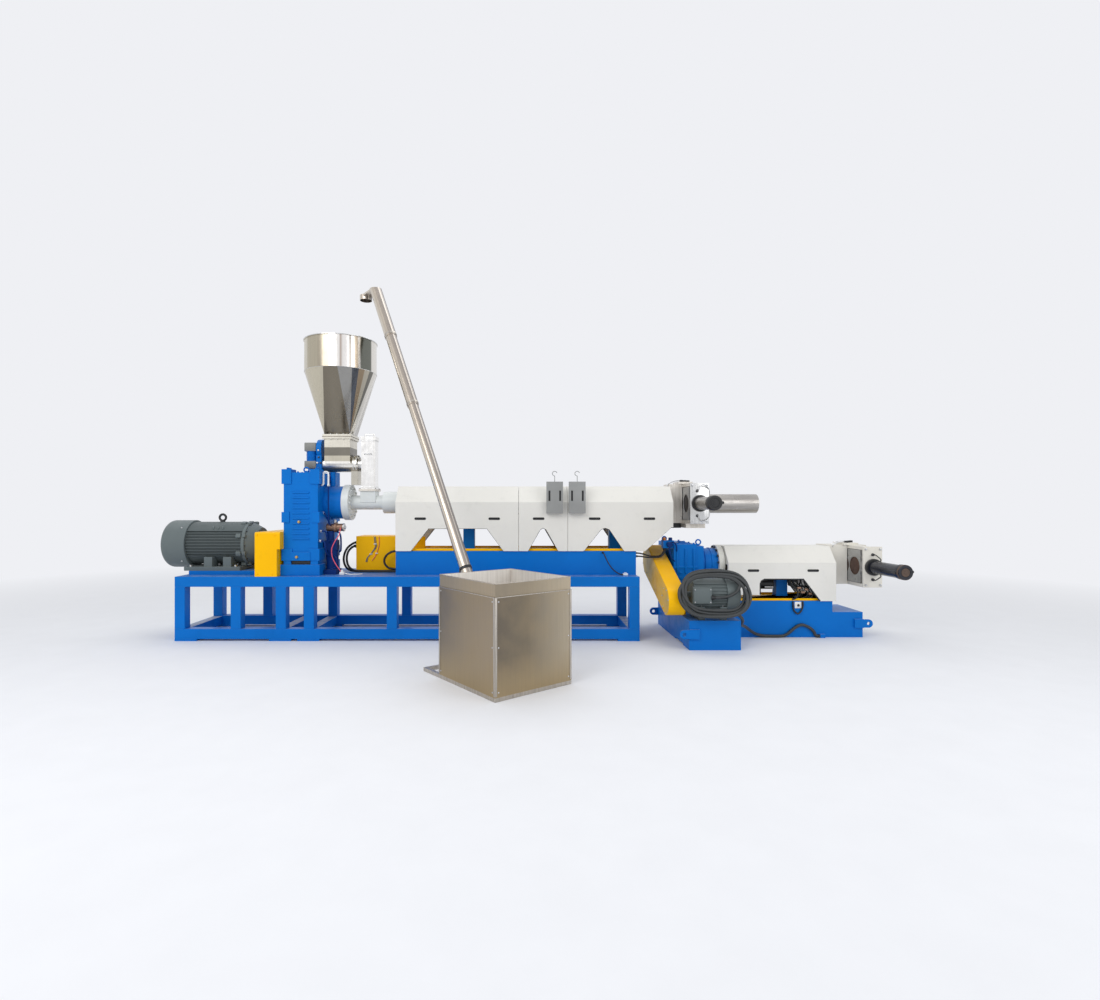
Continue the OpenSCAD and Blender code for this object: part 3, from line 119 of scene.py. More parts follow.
# Where the cables come out and run, the same points as the model's own routes
LEAD_ROUTE = (
    (3.4813, -0.96, 0.585), (3.494, -0.96, 0.585), (3.522, -0.962, 0.585), (3.562, -0.967, 0.588),
    (3.62, -0.973, 0.596), (3.675, -0.976, 0.614), (3.722, -0.975, 0.642), (3.752, -0.972, 0.664),
)
FLOOR_ROUTE = (
    (3.671, -0.9974, 0.4374), (3.7, -0.996, 0.43), (3.735, -0.985, 0.412), (3.772, -0.97, 0.386),
    (3.806, -0.944, 0.354), (3.828, -0.907, 0.318), (3.84, -0.86, 0.288), (3.858, -0.79, 0.256),
    (3.9, -0.7, 0.228), (3.96, -0.61, 0.2), (4.03, -0.5, 0.16), (4.09, -0.41, 0.12),
    (4.16, -0.345, 0.075), (4.223, -0.316, 0.042), (4.3, -0.31, 0.024), (4.4, -0.309, 0.019),
    (4.5, -0.309, 0.019), (4.56, -0.309, 0.027), (4.62, -0.309, 0.062), (4.69, -0.309, 0.122),
    (4.763, -0.309, 0.156), (4.832, -0.309, 0.14), (4.895, -0.309, 0.1), (4.926, -0.309, 0.062),
    (4.936, -0.309, 0.036), (4.958, -0.309, 0.022), (4.976, -0.309, 0.02), (4.9897, -0.309, 0.02),
)
DECK_ROUTES = (
    (
        (-0.7843, 0.18, 1.13), (-0.796, 0.18, 1.13), (-0.82, 0.176, 1.126), (-0.852, 0.168, 1.108),
        (-0.9, 0.156, 1.065), (-0.932, 0.142, 1.0), (-0.942, 0.126, 0.93), (-0.928, 0.108, 0.865),
        (-0.89, 0.08, 0.812), (-0.835, 0.058, 0.784), (-0.77, 0.044, 0.779), (-0.69, 0.034, 0.779),
        (-0.6, 0.026, 0.779), (-0.5, 0.02, 0.779), (-0.4, 0.014, 0.779), (-0.3, 0.012, 0.779),
        (-0.25, 0.012, 0.779), (-0.1983, 0.012, 0.779),
    ),
    (
        (-0.7843, 0.13, 1.088), (-0.796, 0.13, 1.088), (-0.816, 0.127, 1.082), (-0.844, 0.12, 1.064),
        (-0.878, 0.11, 1.018), (-0.892, 0.095, 0.955), (-0.884, 0.076, 0.89), (-0.858, 0.052, 0.838),
        (-0.81, 0.024, 0.8), (-0.745, -0.003, 0.78), (-0.64, -0.018, 0.779), (-0.5, -0.024, 0.779),
        (-0.4, -0.026, 0.779), (-0.3, -0.027, 0.779), (-0.25, -0.028, 0.779), (-0.1983, -0.028, 0.779),
    ),
    (
        (-0.1983, -0.04, 1.034), (-0.212, -0.04, 1.034), (-0.244, -0.04, 1.033), (-0.29, -0.041, 1.023),
        (-0.34, -0.042, 0.992), (-0.372, -0.042, 0.946), (-0.378, -0.04, 0.898), (-0.358, -0.038, 0.852),
        (-0.318, -0.034, 0.82), (-0.262, -0.029, 0.809), (-0.214, -0.028, 0.808), (-0.1983, -0.028, 0.808),
    ),
)

BENCH_ROUTE = (
    (2.35, -0.3203, 1.035), (2.3505, -0.328, 1.0345), (2.353, -0.342, 1.03), (2.358, -0.354, 1.019),
    (2.364, -0.36, 1.003), (2.374, -0.362, 0.98), (2.388, -0.362, 0.95), (2.404, -0.36, 0.92),
    (2.423, -0.358, 0.889), (2.445, -0.356, 0.859), (2.47, -0.354, 0.832), (2.497, -0.353, 0.809),
    (2.524, -0.352, 0.791), (2.55, -0.352, 0.779), (2.572, -0.352, 0.7735), (2.5897, -0.352, 0.772),
)
LINK_ROUTES = (
    (
        (2.7743, -0.222, 0.985), (2.788, -0.222, 0.985), (2.818, -0.222, 0.984), (2.852, -0.222, 0.98),
        (2.888, -0.222, 0.974), (2.926, -0.222, 0.97), (2.962, -0.222, 0.968), (2.996, -0.222, 0.9685),
        (3.03, -0.222, 0.971), (3.0625, -0.222, 0.9767), (3.0911, -0.222, 0.9932), (3.1123, -0.222, 1.0185),
        (3.1246, -0.222, 1.05), (3.125, -0.222, 1.065),
    ),
    (
        (2.7743, -0.168, 1.02), (2.788, -0.168, 1.02), (2.818, -0.168, 1.018), (2.852, -0.168, 1.011),
        (2.888, -0.168, 1.001), (2.926, -0.168, 0.99), (2.964, -0.168, 0.982), (3.004, -0.168, 0.9795),
        (3.04, -0.168, 0.981), (3.0691, -0.168, 0.9861), (3.0946, -0.168, 1.0009), (3.1136, -0.168, 1.0235),
        (3.1246, -0.168, 1.05), (3.125, -0.168, 1.065),
    ),
)
THIN_CABLES = (
    ("bench_cable", BENCH_ROUTE, 0.014, "loose"), ("link_cable_1", LINK_ROUTES[0], 0.018, "hanging"),
    ("link_cable_2", LINK_ROUTES[1], 0.018, "hanging"),
)


# The slot that each finish usually has
SLOT_FINISHES = {
    "black_parts": ("black_plastic", "dark_bolt", "rust_cap", "gloss_black"),
    "black_rubber": ("rubber", "black_rubber", "red_tube"),
    "white_paint": ("white_plastic", "white_paint"),
    "grey_paint": ("grey_plastic", "box_grey"),
    "motor_grey": ("motor_grey", "fin_shaded_grey"),
    "yellow_paint": ("yellow_paint", "guard_yellow", "orange_plastic"),
    "blue_paint": ("blue_casting", "dark_blue", "blue_paint", "blue_pale_tops"),
    "bronze": ("brass", "bronze", "dark_screen", "rust_screen"),
    "bare_steel": (
        "zinc", "barrel_grey", "plate_steel", "heater", "cream_paint", "pipe_steel", "flange_white",
        "machined",
    ),
    "stainless": (
        "bright_steel", "bin_bright", "bin_light", "hopper_drum", "hopper_cone", "trough_steel",
        "column_steel", "bin_steel", "loader_steel",
    ),
}
SLOTS = {name: slot for slot, names in SLOT_FINISHES.items() for name in names}


# Surfaces

def unit(v):
    """Each vector over its own length."""
    v = np.asarray(v, float)
    return v / np.linalg.norm(v, axis=-1, keepdims=True)


def turned(profile, sides=32):
    """A turned part about Z: the point (r, z) of the profile at angle a is (r cos a, r sin a, z)."""
    r, z = np.asarray(profile, float).T
    a = np.linspace(0, 2 * np.pi, sides, endpoint=False)
    return np.stack([np.outer(r, np.cos(a)), np.outer(r, np.sin(a)), np.outer(z, np.ones(sides))], -1)


def rounded(width, height, radius, steps=4):
    """Outline of a rectangle with round corners: at each corner's centre, radius times (cos a, sin a)."""
    radius = min(radius, 0.499 * width, 0.499 * height)
    a = np.radians(np.linspace(0, 90, steps + 1)[None, :] + 90 * np.arange(4)[:, None])
    cx = (width / 2 - radius) * np.array([1, -1, -1, 1])[:, None]
    cy = (height / 2 - radius) * np.array([1, 1, -1, -1])[:, None]
    return np.stack([cx + radius * np.cos(a), cy + radius * np.sin(a)], -1).reshape(-1, 2)


def polygon(corners, across):
    """Outline of a regular polygon, given the distance across its flats."""
    a = 2 * np.pi * np.arange(corners) / corners
    return across / 2 / math.cos(math.pi / corners) * np.stack([np.cos(a), np.sin(a)], -1)


def inset(outline, d):
    """The outline moved in by d: each corner goes back along the sum n1 + n2 of its two edge normals,
    over 1 + n1 . n2."""
    edge = np.roll(outline, -1, 0) - outline
    n2 = unit(np.stack([edge[:, 1], -edge[:, 0]], -1))
    n1 = np.roll(n2, 1, 0)
    return outline - d * (n1 + n2) / (1 + (n1 * n2).sum(1, keepdims=True))


def plate(outline, depth, edge=0.0):
    """An outline carried up Z to its depth. Near each end it is inset by edge (1 - sin t) at the height
    edge (1 - cos t), so that the rim is a quarter circle."""
    if edge <= 0:
        rings = [(outline, 0.0), (outline, depth)]
    else:
        t = np.radians([0, 45, 90])
        low = [(inset(outline, edge * (1 - math.sin(a))), edge * (1 - math.cos(a))) for a in t]
        rings = low + [(o, depth - z) for o, z in reversed(low)]
    return np.array([np.column_stack([o, np.full(len(o), z)]) for o, z in rings])


def place(shape, at, axis=(0, 0, 1), up=None):
    """A shape drawn about the origin, carried to each place: P = place + x u + y v + z w. w is the axis,
    v the part of up across it, and u = v x w."""
    at = np.atleast_2d(np.asarray(at, float))
    w = np.broadcast_to(unit(axis), at.shape)
    if up is None:
        up = np.where(np.abs(w[:, 2:3]) > 0.9, [[0.0, 1.0, 0.0]], [[0.0, 0.0, 1.0]])
    up = np.broadcast_to(np.asarray(up, float), at.shape)
    v = unit(up - w * (up * w).sum(1, keepdims=True))
    u = np.cross(v, w)
    x, y, z = (shape[None, ..., i:i + 1] for i in range(3))
    return at[:, None, None] + x * u[:, None, None] + y * v[:, None, None] + z * w[:, None, None]


def spline(points, step=0.02):
    """A smooth curve through the points: between p1 and p2, the cubic with tangents (p2 - p0) / 2 and
    (p3 - p1) / 2, sampled about every step."""
    p = np.asarray(points, float)
    p = np.vstack([2 * p[0] - p[1], p, 2 * p[-1] - p[-2]])
    out = []
    for a, b, c, d in zip(p[:-3], p[1:-2], p[2:-1], p[3:]):
        n = max(2, int(np.linalg.norm(c - b) / step) + 1)
        t = np.linspace(0, 1, n, endpoint=False)[:, None]
        square, cube = a - 2.5 * b + 2 * c - d / 2, 1.5 * (b - c) + (d - a) / 2
        out.append(b + t * (c - a) / 2 + t * t * square + t ** 3 * cube)
    return np.vstack(out + [p[-2:-1]])


def tube(path, radius, sides=10, loop=False, normal=None):
    """A round tube on a path: P(i, a) = path(i) + radius(i) (cos a n(i) + sin a b(i)). b is the tangent
    crossed with n, and n is the given normal, or is carried along with the least turning."""
    p = np.asarray(path, float)
    t = unit(np.roll(p, -1, 0) - np.roll(p, 1, 0)) if loop else unit(np.gradient(p, axis=0))
    if normal is not None:
        n = np.broadcast_to(np.asarray(normal, float), p.shape)
    else:
        n = np.empty_like(p)
        side = np.array([0.0, 0.0, 1.0]) if abs(t[0][2]) < 0.9 else np.array([0.0, 1.0, 0.0])
        for i, d in enumerate(t):
            side = side - d * (side @ d)
            side = n[i] = side / np.linalg.norm(side)
    n = unit(n - t * (n * t).sum(1, keepdims=True))
    b = np.cross(t, n)
    a = np.linspace(0, 2 * np.pi, sides, endpoint=False)
    r = np.broadcast_to(np.asarray(radius, float), len(p))[:, None, None]
    return p[:, None] + r * (np.cos(a)[None, :, None] * n[:, None] + np.sin(a)[None, :, None] * b[:, None])


def circle(centre, radius, axis, steps=32, start=0.0, turn=360.0):
    """Points of an arc: centre + radius (cos a u + sin a v), with u and v across the axis."""
    a = np.radians(start + turn * np.linspace(0, 1, steps, endpoint=turn < 360))
    shape = np.stack([radius * np.cos(a), radius * np.sin(a), 0 * a], -1)[None]
    return place(shape, centre, axis)[0, 0]


def bent(points, radius, sides=10, step=0.015):
    """A round tube on the smooth curve through the points."""
    return tube(spline(points, step), radius, sides)


def spun(profile, at, axis=(0, 0, 1), sides=32):
    """A turned part carried to each place, with its Z along the axis."""
    return place(turned(profile, sides), at, axis)


def block(low, high, edge=0.004):
    """A box between two corners with its edges rounded."""
    low, high = np.asarray(low, float), np.asarray(high, float)
    size = high - low
    edge = min(edge, 0.45 * size.min())
    base = plate(rounded(size[0], size[1], edge * 1.01, 3), size[2], edge)
    return base + np.array([(low[0] + high[0]) / 2, (low[1] + high[1]) / 2, low[2]])


def bolts(at, axis, across):
    """Hexagon heads 0.62 of their flats high, each on a round washer."""
    rise = 0.12 * across
    rim = [
        (0, -0.001), (0.98 * across, -0.001), (1.02 * across, 0.6 * rise), (0.98 * across, rise), (0, rise),
    ]
    washer = turned(rim, 16) * [[0.62, 0.62, 1]]
    head = plate(polygon(6, across), 0.62 * across + 0.001, 0.07 * across) + [0, 0, rise - 0.001]
    return [place(washer, at, axis), place(head, at, axis)]


def ring_places(centre, radius, axis, count, start=0.0):
    """Places spread evenly round a circle."""
    return circle(centre, radius, axis, count + 1, start, 360.0 * (1 + 1e-9))[:count]


def skin(grid, loop=False):
    """Points and faces of one or more grids that are closed round their second direction. A grid that
    isn't a loop is closed at its two ends by a face each."""
    grid = np.asarray(grid, float)
    grid = grid[None] if grid.ndim == 3 else grid
    k, n, m = grid.shape[:3]
    i, j = np.arange(n if loop else n - 1)[:, None], np.arange(m)[None]
    i2, j2 = (i + 1) % n, (j + 1) % m
    quads = np.stack([i * m + j, i * m + j2, i2 * m + j2, i2 * m + j], -1).reshape(1, -1, 4)
    start = (np.arange(k) * n * m)[:, None, None]
    faces = (quads + start).reshape(-1, 4).tolist()
    if not loop:
        ends = np.stack([np.arange(m)[::-1], (n - 1) * m + np.arange(m)])[None]
        faces += (ends + start).reshape(-1, m).tolist()
    return grid.reshape(-1, 3), faces


class Loop:
    """A grid that is closed along both directions, such as a ring."""

    def __init__(self, grid):
        self.grid = grid


def hoop(inner, outer, width, at, axis, sides=40):
    """A flat ring between two radii, as wide as given along its axis."""
    return Loop(spun([(inner, 0), (outer, 0), (outer, width), (inner, width)], at, axis, sides))


def wire_ring(centre, radius, axis, steps, wire, sides=8):
    """A ring of round wire about an axis."""
    return Loop(tube(circle(centre, radius, axis, steps), wire, sides, True, axis))


def grille(centre, radii, steps, wire, spokes, reach, bar):
    """Rings and spokes of wire in a plane across X. The spokes stand at even angles and reach from the
    first radius to the second."""
    a = np.arange(spokes) * 2 * np.pi / spokes
    ways = unit(np.stack([0 * a, np.cos(a), np.sin(a)], -1))
    rings = [wire_ring(centre, r, (1, 0, 0), steps, wire) for r in radii]
    return rings + [tube(centre + np.outer(reach, w), bar, 8, normal=(1, 0, 0)) for w in ways]


def piece(name, grids, material, slot=None, body="line", replaces=()):
    """Makes one object of closed grids, with faces outward, smooth up to the pieces' crease."""
    points, faces, start = [], [], 0
    for g in grids:
        p, f = skin(g.grid, True) if isinstance(g, Loop) else skin(g)
        points.append(p)
        faces += [[v + start for v in face] for face in f]
        start += len(p)
    mesh = bpy.data.meshes.new(name)
    mesh.from_pydata(np.vstack(points).tolist(), [], faces)
    bm = bmesh.new()
    bm.from_mesh(mesh)
    bmesh.ops.remove_doubles(bm, verts=bm.verts, dist=1e-6)
    bmesh.ops.dissolve_degenerate(bm, edges=bm.edges, dist=1e-6)
    bmesh.ops.recalc_face_normals(bm, faces=bm.faces)
    bm.to_mesh(mesh)
    bm.free()
    return show(name, mesh, material, slot, body, replaces, PIECE_CREASE)


def show(name, mesh, material, slot, body, replaces, angle):
    """Puts a mesh in the scene with its finish, its body and the solids that it stands for. Its slot, the
    finish's usual one if none is given, is worked out but not used."""
    slot = slot or SLOTS[material]
    mesh.polygons.foreach_set("use_smooth", np.ones(len(mesh.polygons), bool))
    mesh.set_sharp_from_angle(angle=math.radians(angle))
    mesh.materials.append(finish(material))
    obj = bpy.data.objects.new(name, mesh)
    bpy.context.scene.collection.objects.link(obj)
    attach(obj, body)
    if replaces:
        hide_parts(*replaces)
    return obj


def finish_solid(node, material, slot=None, edge=None, body="line"):
    """A finished copy of one of the model's solids: its triangles are merged into flat faces, and its
    edges are rounded. azimuth is each face's heading, in turns: 0.5 looks to -Y and 0.75 to +X."""
    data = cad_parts[node].data
    co = np.empty(len(data.vertices) * 3, np.float32)
    data.vertices.foreach_get("co", co)
    corners = np.empty(len(data.loops), np.int32)
    data.loops.foreach_get("vertex_index", corners)
    mesh = bpy.data.meshes.new(node + "_finish")
    mesh.from_pydata(co.reshape(-1, 3).tolist(), [], corners.reshape(-1, 3).tolist())
    bm = bmesh.new()
    bm.from_mesh(mesh)
    bmesh.ops.remove_doubles(bm, verts=bm.verts, dist=2e-5)
    bmesh.ops.dissolve_degenerate(bm, edges=bm.edges, dist=1e-5)
    bmesh.ops.dissolve_limit(bm, angle_limit=math.radians(0.4), verts=bm.verts, edges=bm.edges)
    bm.to_mesh(mesh)
    bm.free()
    normals = np.empty(len(mesh.polygons) * 3, np.float32)
    mesh.polygons.foreach_get("normal", normals)
    normals = normals.reshape(-1, 3)
    heading = np.arctan2(normals[:, 0], -normals[:, 1]) / (2 * np.pi)
    azimuth = mesh.attributes.new("azimuth", "FLOAT", "FACE")
    azimuth.data.foreach_set("value", (0.5 + heading).astype(np.float32))
    obj = show(node + "_finish", mesh, material, slot, body, (node,), SOLID_CREASE)
    edge = sizes().edge if edge is None else edge
    if edge > 0:
        bevel = obj.modifiers.new("edges", "BEVEL")
        bevel.width = edge
        bevel.segments = 2
        bevel.limit_method = "ANGLE"
        bevel.angle_limit = math.radians(SOLID_CREASE)
        bevel.harden_normals = True
    return obj


# Finishes

def put(tree, kind, sockets=None, **settings):
    """Adds the shader node of that kind. A socket is linked if its value is an output, and set if it is a
    number."""
    node = tree.nodes.new("ShaderNode" + kind)
    for key, value in settings.items():
        setattr(node, key, value)
    for key, value in (sockets or {}).items():
        if isinstance(value, bpy.types.NodeSocket):
            tree.links.new(value, node.inputs[key])
        else:
            node.inputs[key].default_value = value
    return node


def times(tree, a, b, operation="MULTIPLY"):
    """The product of two values, or what the operation makes of them."""
    return put(tree, "Math", {0: a, 1: b}, operation=operation).outputs[0]


def plainly_seen(tree):
    """1 for the rays that look straight, in a mirror or through glass, and 0 for those that light."""
    ray = put(tree, "LightPath").outputs
    seen = times(tree, ray["Is Camera Ray"], ray["Is Glossy Ray"], "MAXIMUM")
    return times(tree, seen, ray["Is Transmission Ray"], "MAXIMUM")


def normal_of(tree, letter):
    """One part, X, Y or Z, of the direction that a face looks in."""
    return put(tree, "SeparateXYZ", {"Vector": put(tree, "NewGeometry").outputs["Normal"]}).outputs[letter]


def object_place(tree):
    """The place on the object, in metres."""
    return put(tree, "TexCoord").outputs["Object"]


def tone(colour, gain):
    """A colour made lighter or darker, as RGBA."""
    return tuple(min(1.0, c * gain) for c in colour[:3]) + (1.0,)


def linear(r, g, b):
    """An 8-bit screen colour as linear light."""
    v = np.array([r, g, b]) / 255.0
    return tuple(float(x) for x in np.where(v <= 0.04045, v / 12.92, ((v + 0.055) / 1.055) ** 2.4))


def grain(tree, scale, stretch=(1, 1, 1), detail=3.0, roughness=0.55):
    """Noise on object coordinates, stretched by a mapping."""
    mapped = put(tree, "Mapping", {"Vector": object_place(tree), "Scale": stretch}).outputs["Vector"]
    return put(tree, "TexNoise", {
        "Vector": mapped, "Scale": scale, "Detail": detail, "Roughness": roughness,
    }).outputs["Fac"]


def spread(tree, value, low, high, to_low=0.0, to_high=1.0):
    """Maps a range of a value onto another range, clamped."""
    return put(tree, "MapRange", {
        "Value": value, "From Min": low, "From Max": high, "To Min": to_low, "To Max": to_high,
    }).outputs["Result"]


def mixed(tree, factor, a, b):
    """Mixes two colours by a varying factor."""
    node = put(tree, "Mix", data_type="RGBA")
    for socket, value in ((node.inputs[0], factor), (node.inputs[6], a), (node.inputs[7], b)):
        if isinstance(value, bpy.types.NodeSocket):
            tree.links.new(value, socket)
        else:
            socket.default_value = value
    return node.outputs[2]


def start_material(name):
    """A new node material, its shader and its tree."""
    material = bpy.data.materials.new(name)
    material.use_nodes = True
    tree = material.node_tree
    return material, tree, tree.nodes["Principled BSDF"]


def join(tree, shader, colour, rough, bump, height=0.0006, strength=0.3):
    """Links a colour, a roughness and a bump to the shader."""
    tree.links.new(colour, shader.inputs["Base Color"])
    tree.links.new(rough, shader.inputs["Roughness"])
    bumped = put(tree, "Bump", {"Height": bump, "Strength": strength, "Distance": height}).outputs["Normal"]
    tree.links.new(bumped, shader.inputs["Normal"])


def paint(
    name, colour, rough=0.38, dust=0.25, skin_scale=160.0, depth=0.0004, gloss=0.14, mottle=0.07, stain_and_shade=None,
):
    """Sprayed paint: broad uneven tone, orange peel, duller patches, dust on faces that look up, and if asked
    a painted shade on faces that look to -X."""
    material, tree, shader = start_material(name)
    broad = grain(tree, 1.7, detail=4)
    patch = grain(tree, 9.0, detail=5, roughness=0.65)
    colour_out = mixed(
        tree, spread(tree, broad, 0.3, 0.7), tone(colour, 1 - mottle), tone(colour, 1 + mottle),
    )
    colour_out = mixed(tree, spread(tree, patch, 0.56, 0.78, 0.0, 0.22), colour_out, tone(colour, 0.72))
    up = spread(tree, normal_of(tree, "Z"), 0.55, 0.98)
    settled = times(tree, up, spread(tree, patch, 0.35, 0.62, 0.35 * dust, dust))
    colour_out = mixed(tree, settled, colour_out, linear(205, 208, 208) + (1.0,))
    if stain_and_shade:
        # Painted shade: the faces that look to -X take the given colour, in patches
        side = spread(tree, normal_of(tree, "X"), -0.6, -0.95)
        side_shade = times(tree, side, spread(tree, broad, 0.4, 0.62, 0.0, 0.8))
        colour_out = mixed(tree, side_shade, colour_out, tuple(stain_and_shade) + (1.0,))
    join(
        tree, shader, colour_out, spread(tree, patch, 0.3, 0.75, rough - 0.05, rough + 0.14),
        grain(tree, skin_scale, detail=1), depth, 0.35,
    )
    shader.inputs["Specular IOR Level"].default_value = gloss
    return material


def steel(name, light, dark, rough=0.28, stretch=(1, 1, 1), scale=40.0, stain_and_shade=0.25, metallic=1.0):
    """Bare metal: fine lines along the stretched direction, broad tone, and faint stains."""
    material, tree, shader = start_material(name)
    lines = grain(tree, scale, stretch, detail=5, roughness=0.6)
    cloud = grain(tree, 2.4, detail=4)
    spots = grain(tree, 14.0, detail=6, roughness=0.7)
    colour = mixed(tree, spread(tree, lines, 0.32, 0.68), dark + (1.0,), light + (1.0,))
    colour = mixed(tree, spread(tree, cloud, 0.4, 0.75, 0.0, 0.35), colour, tone(dark, 0.86))
    colour = mixed(tree, spread(tree, spots, 0.58, 0.8, 0.0, stain_and_shade), colour, tone(dark, 0.6))
    join(
        tree, shader, colour, spread(tree, spots, 0.3, 0.75, rough - 0.07, rough + 0.16), lines, 0.00025,
        0.25,
    )
    shader.inputs["Metallic"].default_value = metallic
    return material


def moulded(name, colour, rough=0.5, scale=60.0, depth=0.0006, vary=0.18):
    """Rubber, plastic or cast parts: a fine grain, a soft change of tone and worn duller spots."""
    material, tree, shader = start_material(name)
    fine = grain(tree, scale, detail=3)
    soft = grain(tree, 6.0, detail=4)
    out = mixed(tree, spread(tree, soft, 0.3, 0.7), tone(colour, 1 - vary), tone(colour, 1 + vary))
    join(tree, shader, out, spread(tree, soft, 0.3, 0.7, rough - 0.08, rough + 0.1), fine, depth, 0.5)
    return material


def mesh_screen(name, colour):
    """A perforated screen: round cells as pits, darkened with painted shade, in rusty metal."""
    material, tree, shader = start_material(name)
    cells = put(tree, "TexVoronoi", {
        "Vector": object_place(tree), "Scale": 150.0, "Randomness": 0.25,
    }).outputs["Distance"]
    shaded_pits = spread(tree, cells, 0.18, 0.42)
    rust = mixed(tree, grain(tree, 22.0, detail=6), tone(colour, 0.55), tone(colour, 1.5))
    out = mixed(tree, shaded_pits, tone(colour, 0.25), rust)
    join(tree, shader, out, spread(tree, cells, 0.2, 0.5, 0.75, 0.5), shaded_pits, 0.001, 0.7)
    shader.inputs["Metallic"].default_value = 0.35
    return material


def reflection_painted_steel(name, how, stops, rough=0.2, soft=0.006):
    """Polished sheet with a hall's reflection painted into its colour in bands. A band goes by the direction
    that a face looks in ("face"), by the place round the hopper ("round") or by height ("height"), and stops
    gives where each band starts and its screen colour."""
    material, tree, shader = start_material(name)
    coords = object_place(tree)
    if how == "face":
        value = put(tree, "Attribute", attribute_name="azimuth").outputs["Fac"]
        first, last = -180.0, 180.0
    elif how == "round":
        centred = put(tree, "Mapping", {
            "Vector": coords, "Location": (0, -HOPPER_X, 0), "Rotation": (0, 0, math.pi / 2),
        }).outputs["Vector"]
        value = put(tree, "TexGradient", {"Vector": centred}, gradient_type="RADIAL").outputs["Fac"]
        first, last = -180.0, 180.0
    else:
        first, last = stops[0][0], stops[-1][0] + 0.1
        height = put(tree, "SeparateXYZ", {"Vector": coords}).outputs["Z"]
        value = spread(tree, height, first, last)
    bands = put(tree, "ValToRGB", {"Fac": value})
    ramp = bands.color_ramp
    marks = []
    for i, (at, rgb) in enumerate(stops):
        place_at = (at - first) / (last - first)
        if i:
            marks.append((max(place_at - soft, 0.0), marks[-1][1]))
        marks.append((place_at, tone(linear(*rgb), 1.04)))
    ramp.elements.remove(ramp.elements[1])
    ramp.elements[0].position, ramp.elements[0].color = marks[0]
    for at, rgba in marks[1:]:
        ramp.elements.new(min(at, 1.0)).color = rgba
    fine = grain(tree, 90.0, (1, 1, 0.03), detail=4)
    cloud = grain(tree, 3.0, detail=3)
    out = mixed(
        tree, spread(tree, fine, 0.35, 0.8, 0.0, 0.16), bands.outputs["Color"], (0.2, 0.19, 0.17, 1.0),
    )
    join(tree, shader, out, spread(tree, cloud, 0.3, 0.7, rough - 0.04, rough + 0.14), fine, 0.0002, 0.2)
    shader.inputs["Metallic"].default_value = 1.0
    return material


# Painted reflections of a hall, in bands, for the hopper's drum and cone, the loader's tube and the trough:
# where each band starts, in degrees round or in metres up, and its screen colour
DRUM_REFLECTIONS = (
    (-180, (226, 222, 212)), (-150, (160, 153, 138)), (-118, (206, 199, 182)), (-90, (182, 175, 158)),
    (-73, (206, 200, 184)), (-45, (182, 174, 154)), (-20, (172, 163, 145)),
    (0, (238, 234, 228)), (16, (186, 172, 160)), (19, (241, 237, 232)), (30.5, (112, 104, 96)),
    (33, (226, 221, 212)), (39, (178, 163, 143)), (45, (236, 232, 226)), (49, (112, 114, 106)),
    (73, (228, 224, 216)),
)
CONE_REFLECTIONS = (
    (-180, (176, 170, 156)), (-130, (120, 115, 106)), (-90, (206, 200, 188)), (-60, (200, 193, 174)),
    (-8, (126, 119, 106)), (8, (206, 203, 197)), (14, (152, 151, 148)), (30, (86, 90, 98)),
    (41, (150, 133, 112)), (53, (178, 172, 158)), (65, (118, 116, 110)), (78, (218, 214, 206)),
    (100, (168, 160, 146)), (140, (210, 205, 194)),
)
# The bin's painted reflection: on its right and left sides, where each tone starts along the side and its
# screen colour, and the tone that it fades to toward the floor
BIN_RIGHT_REFLECTION = ((0.0, (108, 100, 89)), (0.4, (122, 112, 96)), (1.0, (174, 163, 144)))
BIN_LEFT_REFLECTION = ((0.0, (156, 141, 120)), (0.5, (148, 134, 114)), (1.0, (122, 114, 104)))
BIN_FOOT = (162, 144, 113)
# Headings in turns between those of the bin's left side, 0.36, and its right side, 0.61
BIN_EDGE = (0.47, 0.48)
LOADER_REFLECTIONS = (
    (-180, (176, 170, 160)), (-100, (196, 188, 176)), (-75, (212, 203, 188)), (-35, (198, 187, 172)),
    (-12, (176, 166, 155)), (12, (160, 152, 145)), (32, (208, 200, 188)), (44, (152, 146, 141)),
    (60, (124, 119, 116)), (100, (150, 144, 138)), (140, (190, 184, 174)),
)
TROUGH_REFLECTIONS = (
    (1.9, (198, 193, 180)), (2.045, (146, 138, 124)), (2.095, (236, 233, 226)), (2.165, (188, 182, 166)),
    (2.235, (118, 114, 105)), (2.34, (208, 203, 190)), (2.5, (222, 219, 210)),
)


